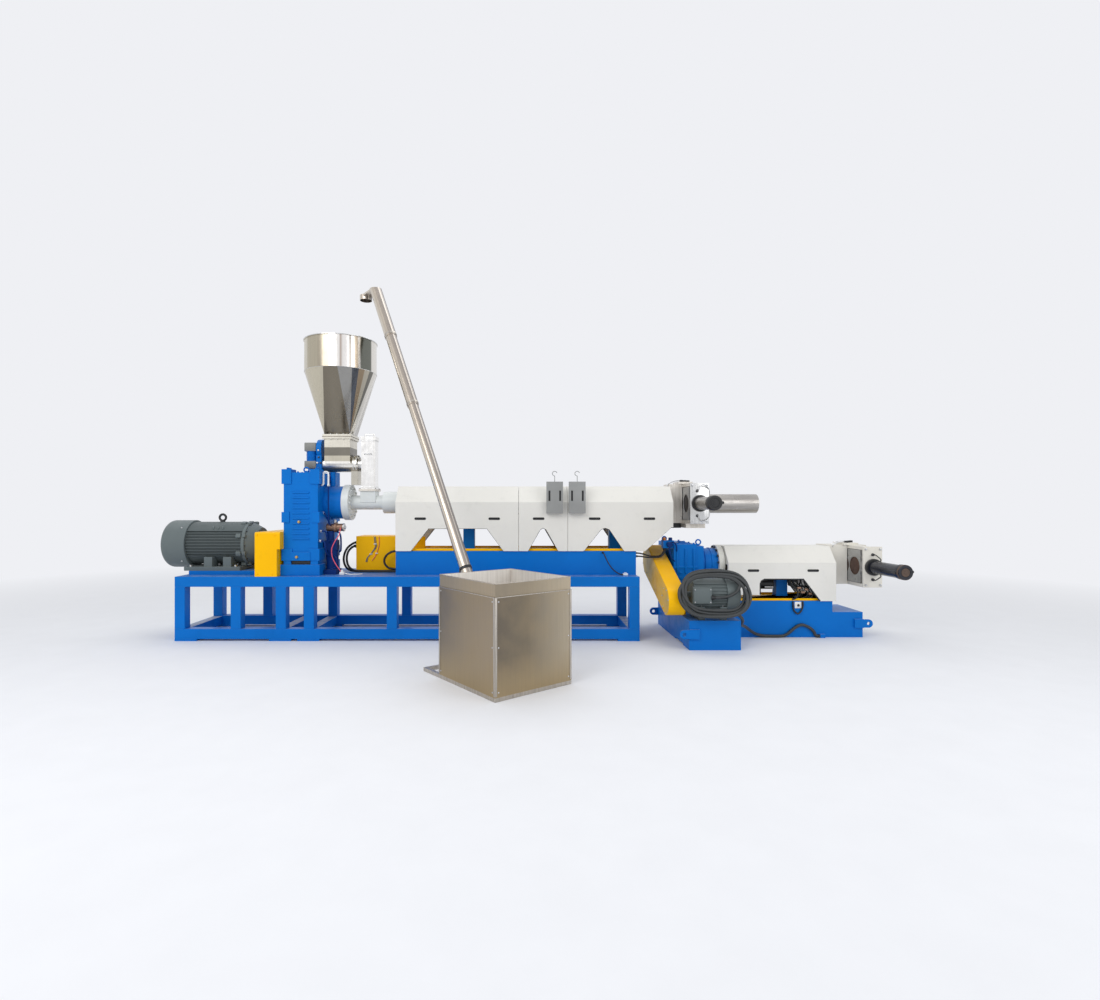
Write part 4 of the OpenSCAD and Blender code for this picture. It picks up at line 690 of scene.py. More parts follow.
def bin_reflection_sheet(name):
    """The bin's brushed sheet with the hall's reflection painted into its colour: the painted reflection runs
    across each side, by the place u or v along the side, and fades to one tone toward the floor. The collar
    is a quarter of the way to a lighter tone."""
    material, tree, shader = start_material(name)
    coords = object_place(tree)
    height = put(tree, "SeparateXYZ", {"Vector": coords}).outputs["Z"]
    sides = []
    for way, reach, stops in ((BIN_U, BIN_WIDE, BIN_RIGHT_REFLECTION), (BIN_V, BIN_DEEP, BIN_LEFT_REFLECTION)):
        along = put(tree, "VectorMath", {0: coords, 1: tuple(way)}, operation="DOT_PRODUCT").outputs["Value"]
        first = float(BIN_CORNER @ way)
        value = spread(tree, along, first, first + reach)
        low, middle, high = [tone(linear(*stop[1]), 1.12) for stop in stops]
        half = stops[1][0]
        near = mixed(tree, spread(tree, value, 0.0, half), low, middle)
        sides.append(mixed(tree, spread(tree, value, half, 1.0), near, high))
    azimuth = put(tree, "Attribute", attribute_name="azimuth").outputs["Fac"]
    out = mixed(tree, spread(tree, azimuth, *BIN_EDGE), sides[1], sides[0])
    out = mixed(tree, spread(tree, height, 0.35, 0.05), out, tone(linear(*BIN_FOOT), 1.12))
    cloud = grain(tree, 4.0, detail=4)
    out = mixed(tree, spread(tree, cloud, 0.35, 0.75, 0.0, 0.3), out, tone(linear(*BIN_FOOT), 1.25))
    out = mixed(
        tree, spread(tree, height, COLLAR_Z - 0.001, COLLAR_Z + 0.001, 0.0, 0.25), out,
        tone(linear(208, 194, 170), 1.1),
    )
    fine = grain(tree, 90.0, (1, 1, 0.03), detail=4)
    out = mixed(tree, spread(tree, fine, 0.35, 0.8, 0.0, 0.14), out, (0.16, 0.15, 0.13, 1.0))
    join(tree, shader, out, spread(tree, cloud, 0.3, 0.7, 0.3, 0.46), fine, 0.0002, 0.2)
    shader.inputs["Metallic"].default_value = 1.0
    return material


FINISHES = {}


def finish(key):
    """The material of that name, made once."""
    if key not in FINISHES:
        c = colours()
        makers = {
            "blue_paint": lambda n: paint(n, tuple(c.blue), 0.36, 0.22),
            # The cross rails' paint, mixed almost fully to pale grey on the faces that look up
            "blue_pale_tops": lambda n: paint(n, tuple(c.blue), 0.42, 0.95),
            "blue_casting": lambda n: paint(n, tuple(c.blue), 0.42, 0.18, 70.0, 0.0012),
            "dark_blue": lambda n: paint(n, linear(8, 48, 112), 0.45, 0.15),
            "motor_grey": lambda n: paint(n, tuple(c.motor), 0.42, 0.12, 90.0, 0.0008),
            # The motor's paint darkened to 0.72 for the finned body: painted shade between the fins
            "fin_shaded_grey": lambda n: paint(n, tone(tuple(c.motor), 0.72)[:3], 0.48, 0.1, 90.0, 0.0008),
            "yellow_paint": lambda n: paint(n, tuple(c.yellow), 0.34, 0.05, mottle=0.04),
            # The guard's faces that look to -X get a painted shade
            "guard_yellow": lambda n: paint(
                n, tuple(c.yellow), 0.34, 0.04, mottle=0.06, stain_and_shade=linear(196, 168, 98),
            ),
            "white_paint": lambda n: paint(n, tuple(c.white), 0.42, 0.05, 220.0, 0.0003, 0.3, 0.025),
            "cream_paint": lambda n: paint(n, linear(226, 222, 212), 0.42, 0.1, 120.0, 0.0004, 0.3, 0.05),
            "barrel_grey": lambda n: paint(n, linear(216, 220, 219), 0.32, 0.05, 120.0, 0.0004, 0.45, 0.06),
            "flange_white": lambda n: paint(n, linear(214, 213, 206), 0.36, 0.05, 120.0, 0.0004, 0.45, 0.1),
            "box_grey": lambda n: paint(n, linear(150, 151, 150), 0.5, 0.1, 260.0, 0.0008, 0.2, 0.14),
            "machined": lambda n: steel(n, (0.62, 0.63, 0.64), (0.42, 0.43, 0.44), 0.3, (0.05, 1, 1), 120.0),
            "bright_steel": lambda n: steel(
                n, (0.78, 0.78, 0.77), (0.55, 0.55, 0.54), 0.24, (1, 1, 0.08), 60.0,
            ),
            "plate_steel": lambda n: steel(
                n, (0.78, 0.74, 0.68), (0.58, 0.54, 0.48), 0.3, (1, 1, 0.05), 70.0, metallic=0.55,
            ),
            "column_steel": lambda n: steel(
                n, (0.97, 0.96, 0.94), (0.84, 0.82, 0.78), 0.2, (1, 1, 0.05), 30.0, stain_and_shade=0.1,
            ),
            "bin_steel": bin_reflection_sheet,
            "bin_light": lambda n: steel(
                n, (0.8, 0.76, 0.71), (0.66, 0.62, 0.57), 0.4, (1, 1, 0.05), 40.0, metallic=0.25,
            ),
            "bin_bright": lambda n: steel(n, (0.62, 0.58, 0.52), (0.42, 0.38, 0.33), 0.3, (1, 1, 0.06), 60.0),
            "loader_steel": lambda n: reflection_painted_steel(n, "face", LOADER_REFLECTIONS, 0.24, 0.0005),
            "pipe_steel": lambda n: steel(n, (0.52, 0.5, 0.47), (0.32, 0.3, 0.28), 0.3, (0.05, 1, 1), 22.0),
            "zinc": lambda n: steel(n, (0.66, 0.67, 0.68), (0.5, 0.5, 0.5), 0.34, scale=70.0),
            "dark_bolt": lambda n: steel(n, (0.1, 0.1, 0.11), (0.05, 0.05, 0.055), 0.4, scale=70.0),
            "brass": lambda n: steel(n, (0.62, 0.45, 0.19), (0.45, 0.31, 0.12), 0.3, scale=70.0),
            "bronze": lambda n: steel(
                n, (0.36, 0.22, 0.15), (0.22, 0.13, 0.09), 0.42, scale=50.0, metallic=0.7,
            ),
            "hopper_drum": lambda n: reflection_painted_steel(n, "round", DRUM_REFLECTIONS),
            "hopper_cone": lambda n: reflection_painted_steel(n, "face", CONE_REFLECTIONS, 0.22, 0.0005),
            "trough_steel": lambda n: reflection_painted_steel(n, "height", TROUGH_REFLECTIONS, 0.24, 0.01),
            "heater": lambda n: steel(
                n, (0.2, 0.18, 0.165), (0.12, 0.105, 0.1), 0.42, (0.1, 1, 1), 60.0, metallic=0.6,
            ),
            "rubber": lambda n: moulded(n, linear(54, 57, 58), 0.52, 120.0),
            "black_rubber": lambda n: moulded(n, linear(30, 31, 33), 0.5, 120.0),
            "black_plastic": lambda n: moulded(n, linear(26, 27, 29), 0.42, 200.0),
            "gloss_black": lambda n: moulded(n, linear(30, 33, 42), 0.2, 30.0, 0.0003),
            "grey_plastic": lambda n: moulded(n, linear(128, 128, 124), 0.45, 160.0),
            "white_plastic": lambda n: moulded(n, linear(236, 236, 234), 0.4, 160.0, vary=0.04),
            "orange_plastic": lambda n: moulded(n, linear(226, 132, 30), 0.4, 160.0),
            "red_tube": lambda n: moulded(n, linear(232, 92, 110), 0.35, 80.0),
            "rust_cap": lambda n: moulded(n, linear(84, 66, 54), 0.55, 45.0, 0.001, 0.35),
            "dark_screen": lambda n: mesh_screen(n, linear(58, 54, 52)),
            "rust_screen": lambda n: mesh_screen(n, linear(92, 70, 60)),
        }
        FINISHES[key] = makers[key](key)
    return FINISHES[key]


# Settings

class ExtruderColours(bpy.types.PropertyGroup):
    """Paint colours of the line."""
    blue: bpy.props.FloatVectorProperty(
        name="Blue Paint", description="Paint of the frames, gearboxes and bases", subtype="COLOR", size=3,
        min=0, max=1, default=linear(0, 110, 198),
    )
    yellow: bpy.props.FloatVectorProperty(
        name="Yellow Paint", description="Paint of the guards, trays and deck box", subtype="COLOR", size=3,
        min=0, max=1, default=linear(255, 190, 0),
    )
    white: bpy.props.FloatVectorProperty(
        name="Cover Paint", description="Paint of the barrel covers", subtype="COLOR", size=3, min=0, max=1,
        default=linear(228, 226, 220),
    )
    motor: bpy.props.FloatVectorProperty(
        name="Motor Paint", description="Paint of the two motors", subtype="COLOR", size=3, min=0, max=1,
        default=linear(104, 113, 114),
    )
    backdrop: bpy.props.FloatVectorProperty(
        name="Backdrop", description="Colour of the floor and the backdrop", subtype="COLOR", size=3, min=0,
        max=1, default=linear(239, 240, 244),
    )


class ExtruderSizes(bpy.types.PropertyGroup):
    """Sizes of the small parts."""
    edge: bpy.props.FloatProperty(
        name="Edge Radius", description="Rounding of the edges of castings and plates", default=0.003, min=0,
        max=0.01, unit="LENGTH",
    )
    motor_cable: bpy.props.FloatProperty(
        name="Motor Cable", description="Diameter of the second motor's cable", default=0.036, min=0.02,
        max=0.05, unit="LENGTH",
    )
    deck_cable: bpy.props.FloatProperty(
        name="Deck Cable", description="Diameter of the cables on the deck", default=0.028, min=0.01,
        max=0.04, unit="LENGTH",
    )
    small_bolt: bpy.props.FloatProperty(
        name="Small Bolt", description="Distance across the flats of a small bolt", default=0.016, min=0.008,
        max=0.03, unit="LENGTH",
    )
    large_bolt: bpy.props.FloatProperty(
        name="Large Bolt", description="Distance across the flats of a large bolt", default=0.03, min=0.02,
        max=0.05, unit="LENGTH",
    )
    band_pitch: bpy.props.FloatProperty(
        name="Heater Band Pitch", description="Distance from one heater band to the next", default=0.125,
        min=0.08, max=0.3, unit="LENGTH",
    )


def colours():
    """The paint colours set in the scene."""
    return bpy.context.scene.extruder_colours


def sizes():
    """The sizes set in the scene."""
    return bpy.context.scene.extruder_sizes


# Operators

class EXTRUDER_OT_stage(bpy.types.Operator):
    """Camera, floor, lamps and backdrop."""
    bl_idname = "extruder.stage"
    bl_label = "Stage"

    def execute(self, context):
        """The floor is a plane whose edge fades into the backdrop: the mix is (d - 6) / 7 of the distance
        d from the line's middle."""
        scene = context.scene
        lens = bpy.data.cameras.new("photo_camera")
        lens.sensor_width = 36.0
        lens.lens = FOCAL / PHOTO_W * 36.0
        lens.shift_x, lens.shift_y = CENTRE_OFF[0] / PHOTO_W, CENTRE_OFF[1] / PHOTO_W
        lens.clip_end = 400.0
        camera = bpy.data.objects.new("photo_camera", lens)
        camera.location = CAMERA_AT
        camera.rotation_euler = (math.pi / 2, 0, 0)
        scene.collection.objects.link(camera)
        scene.camera = camera
        back = tuple(colours().backdrop) + (1.0,)

        grid = FLOOR_REACH * np.array([[-1, -1, 0], [1, -1, 0], [1, 1, 0], [-1, 1, 0]])
        mesh = bpy.data.meshes.new("floor")
        mesh.from_pydata(grid.tolist(), [], [[0, 1, 2, 3]])
        floor = bpy.data.objects.new("floor", mesh)
        scene.collection.objects.link(floor)
        material, tree, shader = start_material("floor")
        coords = object_place(tree)
        away = put(
            tree, "Mapping", {"Vector": coords, "Location": FLOOR_SHIFT}, vector_type="POINT",
        ).outputs["Vector"]
        d = put(tree, "VectorMath", {0: away}, operation="LENGTH").outputs["Value"]
        fade = times(tree, spread(tree, d, *FLOOR_FADE), plainly_seen(tree))
        speck = grain(tree, 3.0, detail=3)
        tree.links.new(mixed(
            tree, spread(tree, speck, 0.3, 0.7), tone(back, 0.955), tone(back, 0.975),
        ), shader.inputs["Base Color"])
        shader.inputs["Roughness"].default_value = 0.85
        shader.inputs["Specular IOR Level"].default_value = 0.1
        glow = put(tree, "Emission", {"Color": back, "Strength": 1.0}).outputs[0]
        both = put(tree, "MixShader", {0: fade, 1: shader.outputs[0], 2: glow}).outputs[0]
        tree.links.new(both, tree.nodes["Material Output"].inputs["Surface"])
        mesh.materials.append(material)

        world = bpy.data.worlds.new("studio")
        world.use_nodes = True
        scene.world = world
        tree = world.node_tree
        tree.nodes.clear()
        soft = put(tree, "Background", {"Color": (0.97, 0.985, 1.0, 1.0), "Strength": 0.7}).outputs[0]
        plain = put(tree, "Background", {"Color": back, "Strength": 1.0}).outputs[0]
        both = put(tree, "MixShader", {0: plainly_seen(tree), 1: soft, 2: plain}).outputs[0]
        put(tree, "OutputWorld", {"Surface": both})

        for name, at, aim, size, power in (
            ("key", (-3.5, -7.0, 6.5), (1.0, 0.0, 1.0), (6.0, 4.0), 260.0),
            ("fill", (7.5, -6.5, 4.5), (2.5, 0.0, 1.0), (5.0, 4.0), 130.0),
            ("top", (1.2, 1.5, 7.5), (1.2, 0.0, 0.0), (9.0, 3.5), 130.0),
        ):
            lamp = bpy.data.lights.new(name, "AREA")
            lamp.shape = "RECTANGLE"
            lamp.size, lamp.size_y = size
            lamp.energy = power
            obj = bpy.data.objects.new(name, lamp)
            direction = np.array(at) - np.array(aim)
            yaw = math.atan2(direction[0], -direction[1])
            tilt = math.atan2(math.hypot(direction[0], direction[1]), direction[2])
            obj.location = at
            obj.rotation_euler = (tilt, 0, yaw)
            scene.collection.objects.link(obj)
        scene.view_settings.view_transform = "Standard"
        return {"FINISHED"}


def coil_path():
    """The second motor's cable, from its gland to the floor. In the plane of the coil, at angle a, a turn
    lies at a half circle of radius r about (+-0.131, 0). r sways about its middle as the turns go round,
    so that they cross, and the depth goes from the front of the coil to its back."""
    tilt = math.radians(20)
    origin = np.array([3.481, -0.9853, 0.6354])
    axes = np.array([[1, 0, 0], [0, math.sin(tilt), math.cos(tilt)], [0, math.cos(tilt), -math.sin(tilt)]])
    angle = np.arange(28.0, 1710.1, 6.0)
    turn = (angle - 28.0) / 360.0
    whole = turn[-1]
    sway = 0.5 - 0.5 * np.cos(2 * np.pi * turn * 0.83)
    ease = np.clip(turn / 0.4, 0, 1) * np.clip((whole - turn) / 0.5, 0, 1)
    r = 0.186 + 0.08 * sway * ease
    r = r + 0.006 * np.sin(2 * np.pi * turn * 2.7 + 0.6) * np.clip(turn, 0, 1)
    depth = -0.019 + 0.038 * turn / whole + 0.016 * np.sin(2 * np.pi * turn * 0.83) * ease
    a = np.radians(angle)
    side = 0.131 * np.tanh(3.2 * np.cos(a))
    flat = np.stack([side + r * np.cos(a), r * np.sin(a), depth], -1)
    flat = np.vstack([flat, [
        (-0.06, -0.184, 0.019), (0.02, -0.182, 0.019), (0.1, -0.18, 0.02), (0.15, -0.182, 0.03),
    ]])
    world = origin + flat @ axes
    return np.vstack([spline(LEAD_ROUTE, 0.02), spline(world, 0.03), spline(FLOOR_ROUTE, 0.02)])


def relief(start, radius, direction, length=0.045, flare=1.85):
    """A tapered rubber sleeve with three grooves where a cable leaves a wall: its radius falls along a
    straight line from flare to 1.1 times the cable's."""
    z = np.linspace(0, length, 13)
    r = radius * (flare + (1.1 - flare) * z / length) - 0.0012 * (np.arange(13) % 4 == 3) * (flare > 1.2)
    hole = radius * 1.01
    profile = list(zip(r, z)) + [(hole, length), (hole, 0)]
    return Loop(spun(profile, start, direction, 20))


def sleeves(name, path, radius, length):
    """A tapered sleeve at each end of a path, set back into the gland by 19.5 mm."""
    ends = []
    for j, k in ((0, 1), (-1, -2)):
        way = unit(path[k] - path[j])
        ends.append(relief(path[j] - 0.0195 * way, radius, way, length))
    return piece(name, ends, "black_plastic")


class EXTRUDER_OT_cables(bpy.types.Operator):
    """The second motor's coiled cable, the three cables on the deck, and the three thin ones at the
    bench's end, each with its sleeves."""
    bl_idname = "extruder.cables"
    bl_label = "Cables"

    def execute(self, context):
        """Each cable is a round tube swept along its route."""
        d = sizes().motor_cable
        path = coil_path()
        sleeve = piece("motor_2_sleeve", [
            relief((3.457, -0.96, 0.585), d / 2, (1, 0, 0), 0.05),
            relief((4.991, -0.309, 0.02), d / 2, (-1, 0, 0), 0.03, 1.08),
        ], "black_plastic")
        cable = piece(
            "motor_2_cord", [tube(path, d / 2, 12)], "rubber",
            replaces=("motor_2_lead", "motor_2_coil", "motor_2_cable"),
        )
        d = sizes().deck_cable
        for i, route in enumerate(DECK_ROUTES, 1):
            path = spline(route, 0.015)
            sleeve = sleeves(f"deck_sleeve_{i}", path, d / 2, 0.048)
            cable = piece(
                f"deck_cord_{i}", [tube(path, d / 2, 12)], "black_rubber", replaces=(f"deck_cable_{i}",),
            )
        for name, route, d, lay in THIN_CABLES:
            path = spline(route, 0.01)
            sleeve = sleeves(name + "_sleeves", path, d / 2, 0.04)
            cable = piece(name + "_cord", [tube(path, d / 2, 10)], "black_rubber", replaces=(name,))
        return {"FINISHED"}


class EXTRUDER_OT_frame(bpy.types.Operator):
    """The long blue frame, its feet, deck, bench and barrel posts."""
    bl_idname = "extruder.frame"
    bl_label = "Long Frame"

    def execute(self, context):
        """Rounds and paints the solids, and sets bolts in the foot plates."""
        for node in (
            "frame_rails", "frame_legs", "frame_feet", "frame_deck", "motor_pad", "bench", "barrel_posts",
        ):
            finish_solid(node, "blue_paint")
        finish_solid("frame_cross_rails", "blue_pale_tops")
        socket = [
            block((2.586, -0.378, 0.764), (2.644, -0.326, 0.792), 0.006),
            block((2.6, -0.366, 0.79), (2.63, -0.338, 0.799), 0.004),
        ]
        piece("deck_socket", socket, "white_plastic")
        at = [(x, y, 0.025) for x in (-2.64, 2.64) for y in (-0.44, 0.44)]
        piece("floor_anchor_heads", bolts(at, (0, 0, 1), sizes().large_bolt), "zinc")
        return {"FINISHED"}


class EXTRUDER_OT_main_motor(bpy.types.Operator):
    """The main motor with its cowl, grille, bolts, lugs and lifting eye."""
    bl_idname = "extruder.main_motor"
    bl_label = "Main Motor"

    def execute(self, context):
        """Rings and spokes make the grille. Bolts stand on circles about the motor's axis."""
        finish_solid("motor_plate", "motor_grey")
        finish_solid("motor_body", "fin_shaded_grey", edge=0.0015)
        finish_solid("motor_cowl", "motor_grey", edge=0.004)
        finish_solid("motor_end_shield", "motor_grey")
        axis = np.array([0, 0, MOTOR_Z])
        small = sizes().small_bolt
        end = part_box("motor_cowl")[0][0]
        wires = grille(
            axis + [end - 0.004, 0, 0], np.arange(0.045, 0.215, 0.024), 48, 0.003, 8, (0.02, 0.22), 0.0045,
        )
        hub = spun([
            (0, -0.004), (0.035, -0.004), (0.035, 0.006), (0.03, 0.009), (0, 0.009),
        ], axis + [end, 0, 0], (-1, 0, 0))
        piece("motor_cowl_grille", wires + [hub], "zinc")
        back = spun(
            [(0, -0.001), (0.213, -0.001), (0.213, 0.0015), (0, 0.0015)], axis + [end, 0, 0], (-1, 0, 0), 48,
        )
        piece("motor_cowl_shadow", [back], "black_plastic")
        a = np.radians([43, 137, 223, 317])
        out = np.stack([0 * a, -np.cos(a), np.sin(a)], -1)
        heads = []
        for way in out:
            heads += bolts(axis + [-2.835, 0, 0] + 0.2955 * way, way, small)
        heads += bolts([
            (x, y, 0.86)
            for x in (-2.7, -2.15)
            for y in (-0.258, 0.258)
        ], (0, 0, 1), sizes().large_bolt)
        piece("motor_bright_bolts", heads, "zinc")
        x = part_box("motor_end_shield")[0][0] + 0.0395
        piece("motor_shield_bolts", bolts(
            ring_places(axis + [x, 0, 0], 0.264, (1, 0, 0), 8, 22.5), (1, 0, 0), small,
        ), "dark_bolt")
        lug = plate(rounded(0.05, 0.062, 0.01), 0.04, 0.005) - [0, 0, 0.02]
        a = np.radians([22.5, 67.5, 112.5, 157.5, 202.5, 247.5, 292.5, 337.5])
        out = np.stack([0 * a, -np.cos(a), np.sin(a)], -1)
        lugs = [place(lug, axis + [-2.118, 0, 0] + 0.276 * w, w, (1, 0, 0)) for w in out]
        lugs += [place(lug * [0.8, 0.7, 1.0], axis + [-2.052, 0, 0] + 0.272 * w, w, (1, 0, 0)) for w in out]
        piece("motor_lugs", lugs, "motor_grey")
        ribs = plate(rounded(0.013, 0.055, 0.005), 0.022, 0.003) - [0, 0, 0.008]
        way = unit([0, -0.187, 0.203])
        piece("motor_cast_ribs", [place(
            ribs, [(x, -0.187, MOTOR_Z + 0.203) for x in (-2.46, -2.4, -2.34)], way, (-0.35, 0.68, 0.62),
        )], "motor_grey")
        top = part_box("motor_body")[1][2]
        ring = wire_ring((-2.44, 0, top - 0.048), 0.04, (0, 1, 0), 32, 0.0135, 12)
        stem = spun([
            (0, 0), (0.03, 0), (0.03, 0.01), (0.022, 0.016), (0.016, 0.03), (0, 0.03),
        ], (-2.44, 0, MOTOR_Z + 0.272))
        piece("motor_lifting_eye", [ring, stem], "black_plastic")
        return {"FINISHED"}


class EXTRUDER_OT_guards(bpy.types.Operator):
    """The yellow coupling guard, deck box, trays and belt guard."""
    bl_idname = "extruder.guards"
    bl_label = "Yellow Guards"

    def execute(self, context):
        """Screws stand in rows along the edges of the guards."""
        for node in ("coupling_guard", "drip_tray", "deck_box", "drip_tray_2"):
            finish_solid(node, "yellow_paint")
        finish_solid("belt_guard_2", "guard_yellow", edge=0.006)
        small = sizes().small_bolt
        low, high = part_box("coupling_guard")
        rows = bolts([
            (x, low[1], high[2] - 0.035)
            for x in (low[0] + 0.03, high[0] - 0.06)
        ], (0, -1, 0), small * 0.8)
        rows += bolts([
            (x, low[1], low[2] + 0.03)
            for x in (low[0] + 0.03, low[0] + 0.21)
        ], (0, -1, 0), small * 0.8)
        piece("coupling_guard_screws", rows, "yellow_paint")
        low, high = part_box("belt_guard_2")
        arc = ring_places((low[0], 0.25, 0.9), 0.172, (-1, 0, 0), 7, 20)
        foot = ring_places((low[0], -0.8, 0.53), 0.142, (-1, 0, 0), 6, 10)
        piece("belt_guard_screws", bolts(np.vstack([arc, foot]), (-1, 0, 0), small * 0.8), "zinc")
        wires = []
        for shift, sag in ((0.0, 0.02), (0.016, 0.03)):
            wires.append(bent([
                (-0.535 + shift, 0.066, 1.214), (-0.528 + shift, 0.064, 1.15), (-0.52 + shift, 0.064, 1.085),
                (-0.545 + shift - sag, 0.064, 1.01), (-0.6 + shift - sag, 0.064, 0.945),
                (-0.64 + shift, 0.064, 0.89),
            ], 0.005, 8, 0.02))
        piece("deck_box_grey_leads", wires, "grey_plastic")
        red = bent([
            (-0.47, 0.066, 1.214), (-0.468, 0.064, 1.12), (-0.49, 0.064, 1.03), (-0.52, 0.063, 0.96),
            (-0.56, 0.063, 0.905),
        ], 0.004, 8, 0.02)
        piece("deck_box_red_lead", [red], "red_tube")
        piece("deck_box_clips", [
            block((x - 0.018, 0.058, z - 0.006), (x + 0.018, 0.0705, z + 0.006), 0.003)
            for x, z in ((-0.52, 1.12), (-0.575, 0.99), (-0.5, 1.0))
        ], "white_plastic", "grey_paint")
        return {"FINISHED"}


class EXTRUDER_OT_gearbox(bpy.types.Operator):
    """The tall gearbox, its pedestal, bell housing, oil unit, plugs and pipes."""
    bl_idname = "extruder.gearbox"
    bl_label = "Main Gearbox"

    def execute(self, context):
        """Pipes are tubes on smooth curves between the oil unit and the case."""
        finish_solid("gearbox_pedestal", "blue_paint")
        finish_solid("gearbox_case", "blue_casting", edge=0.006)
        finish_solid("bell_housing", "blue_casting", edge=0.004)
        finish_solid("lube_unit", "dark_blue")
        finish_solid("lube_pump", "bronze")
        small, large = sizes().small_bolt, sizes().large_bolt
        plugs = bolts([(-1.321, -0.399, 1.4115), (-1.345, -0.408, 0.99)], (0, -1, 0), 0.028)
        piece("gearbox_plugs", plugs, "brass")
        # A black block in the gap under the case: painted shadow in the pedestal's opening
        piece(
            "pedestal_painted_shadow", [block((-1.436, -0.374, 0.8995), (-1.192, -0.3, 0.9465), 0.003)],
            "black_plastic",
        )
        low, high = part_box("gearbox_case")
        heads = bolts([
            (x, y, high[2])
            for x in (low[0] + 0.055, high[0] - 0.055)
            for y in (-0.34, -0.27, 0.27, 0.34)
        ], (0, 0, 1), large)
        heads += bolts([
            (x, y, high[2] - 0.038)
            for x in (-1.36, -1.24)
            for y in (-0.33, -0.19, 0.19, 0.33)
        ], (0, 0, 1), small * 1.3)
        piece("gearbox_top_bolts", heads, "blue_casting")
        eye = wire_ring((-1.304, -0.2, high[2] + 0.004), 0.03, (0, 1, 0), 28, 0.009, 10)
        foot = spun([(0, 0), (0.026, 0), (0.026, 0.008), (0, 0.008)], (-1.304, -0.2, high[2] - 0.0385))
        piece("gearbox_eye", [eye, foot], "blue_casting")
        axis = np.array([0, 0, SCREW_Z])
        rim = bolts(ring_places(axis + [-1.0582, 0, 0], 0.2125, (1, 0, 0), 14, 8), (1, 0, 0), small)
        piece("bell_rim_bolts", rim, "blue_casting")
        flange = bolts(ring_places(axis + [-0.79, 0, 0], 0.178, (1, 0, 0), 12, 15), (1, 0, 0), large * 0.8)
        piece("barrel_flange_bolts", flange, "barrel_grey")
        white = [
            bent([
                (-1.092, -0.3, 1.862), (-1.066, -0.3, 1.866), (-1.06, -0.3, 1.9), (-1.06, -0.3, 1.985),
                (-1.052, -0.3, 2.016), (-1.028, -0.3, 2.02), (-1.006, -0.3, 2.012), (-1.0, -0.3, 1.985),
                (-1.0, -0.3, 1.9), (-1.0, -0.3, 1.862),
            ], 0.0115, 12, 0.008),
        ]
        piece("gearbox_white_pipes", white, "white_plastic")
        blue = [
            bent([
                (-1.0, -0.3, 1.87), (-1.0, -0.3, 1.7), (-0.998, -0.3, 1.5), (-0.996, -0.296, 1.42),
                (-1.0, -0.27, 1.385), (-1.0, -0.236, 1.375), (-1.0, -0.19, 1.372),
            ], 0.009, 10, 0.02),
            bent([
                (-1.094, -0.33, 1.3), (-1.04, -0.33, 1.3), (-1.018, -0.33, 1.285), (-1.012, -0.326, 1.25),
                (-1.012, -0.29, 1.19), (-1.0, -0.23, 1.15), (-0.998, -0.2, 1.145),
            ], 0.01),
            bent([
                (-1.094, -0.35, 1.18), (-1.05, -0.35, 1.18), (-1.03, -0.348, 1.16), (-1.026, -0.34, 1.1),
                (-1.02, -0.3, 1.03), (-1.0, -0.24, 0.985), (-0.998, -0.2, 0.98),
            ], 0.01),
            bent([
                (-0.93, -0.16, 1.03), (-0.9, -0.16, 1.04), (-0.888, -0.165, 1.075), (-0.888, -0.17, 1.2),
                (-0.9, -0.17, 1.26), (-0.93, -0.17, 1.29), (-0.938, -0.17, 1.31),
            ], 0.011),
            bent([
                (-0.99, -0.262, 0.826), (-0.93, -0.268, 0.85), (-0.905, -0.27, 0.9), (-0.915, -0.26, 0.96),
                (-0.95, -0.23, 0.99),
            ], 0.008),
            bent([
                (-1.094, -0.24, 1.52), (-1.06, -0.24, 1.51), (-1.045, -0.236, 1.47), (-1.03, -0.21, 1.42),
                (-1.02, -0.19, 1.385),
            ], 0.009),
        ]
        piece("oil_pipes", blue, "dark_blue")
        nuts = [plate(polygon(6, 0.03), 0.024, 0.002) - [0, 0, 0.006]]
        ends = [
            ((-1.088, -0.33, 1.3), (1, 0, 0)), ((-1.088, -0.35, 1.18), (1, 0, 0)),
            ((-1.0, -0.3, 1.85), (0, 0, 1)), ((-0.998, -0.196, 1.145), (0, -1, 0.4)),
            ((-1.088, -0.24, 1.52), (1, 0, 0)), ((-0.932, -0.16, 1.03), (1, 0, 0.3)),
            ((-1.088, -0.3, 1.862), (1, 0, 0)),
        ]
        piece("oil_pipe_nuts", [place(n, at, way) for n in nuts for at, way in ends], "zinc")
        pump = [
            spun([
                (0, -0.002), (0.05, -0.002), (0.052, 0.004), (0.05, 0.012), (0.02, 0.014), (0.014, 0.03),
                (0, 0.03),
            ], (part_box("lube_pump")[1][0], -0.17, 1.34), (1, 0, 0)),
            spun([(0, 0), (0.018, 0), (0.018, 0.05), (0.01, 0.055), (0, 0.055)], (-0.96, -0.17, 1.384)),
        ]
        piece("oil_pump_ends", pump, "zinc")
        red = bent([
            (-0.88, -0.218, 1.336), (-0.87, -0.25, 1.32), (-0.88, -0.266, 1.25), (-0.93, -0.272, 1.17),
            (-0.968, -0.274, 1.08), (-0.96, -0.276, 0.98), (-0.915, -0.28, 0.89), (-0.862, -0.29, 0.82),
            (-0.838, -0.3, 0.792),
        ], 0.0055)
        piece("oil_red_line", [red], "red_tube")
        valve = [
            block((-0.862, -0.322, 0.764), (-0.806, -0.278, 0.8), 0.006),
            spun([(0, 0), (0.014, 0), (0.014, 0.022), (0.008, 0.026), (0, 0.026)], (-0.834, -0.3, 0.799)),
        ]
        valve += [bent([
            (-0.8, -0.3, 0.782), (-0.74, -0.306, 0.771), (-0.69, -0.3, 0.7705), (-0.64, -0.28, 0.7705),
            (-0.6, -0.25, 0.771),
        ], 0.006, 8)]
        piece("deck_valve", valve, "white_plastic")
        return {"FINISHED"}


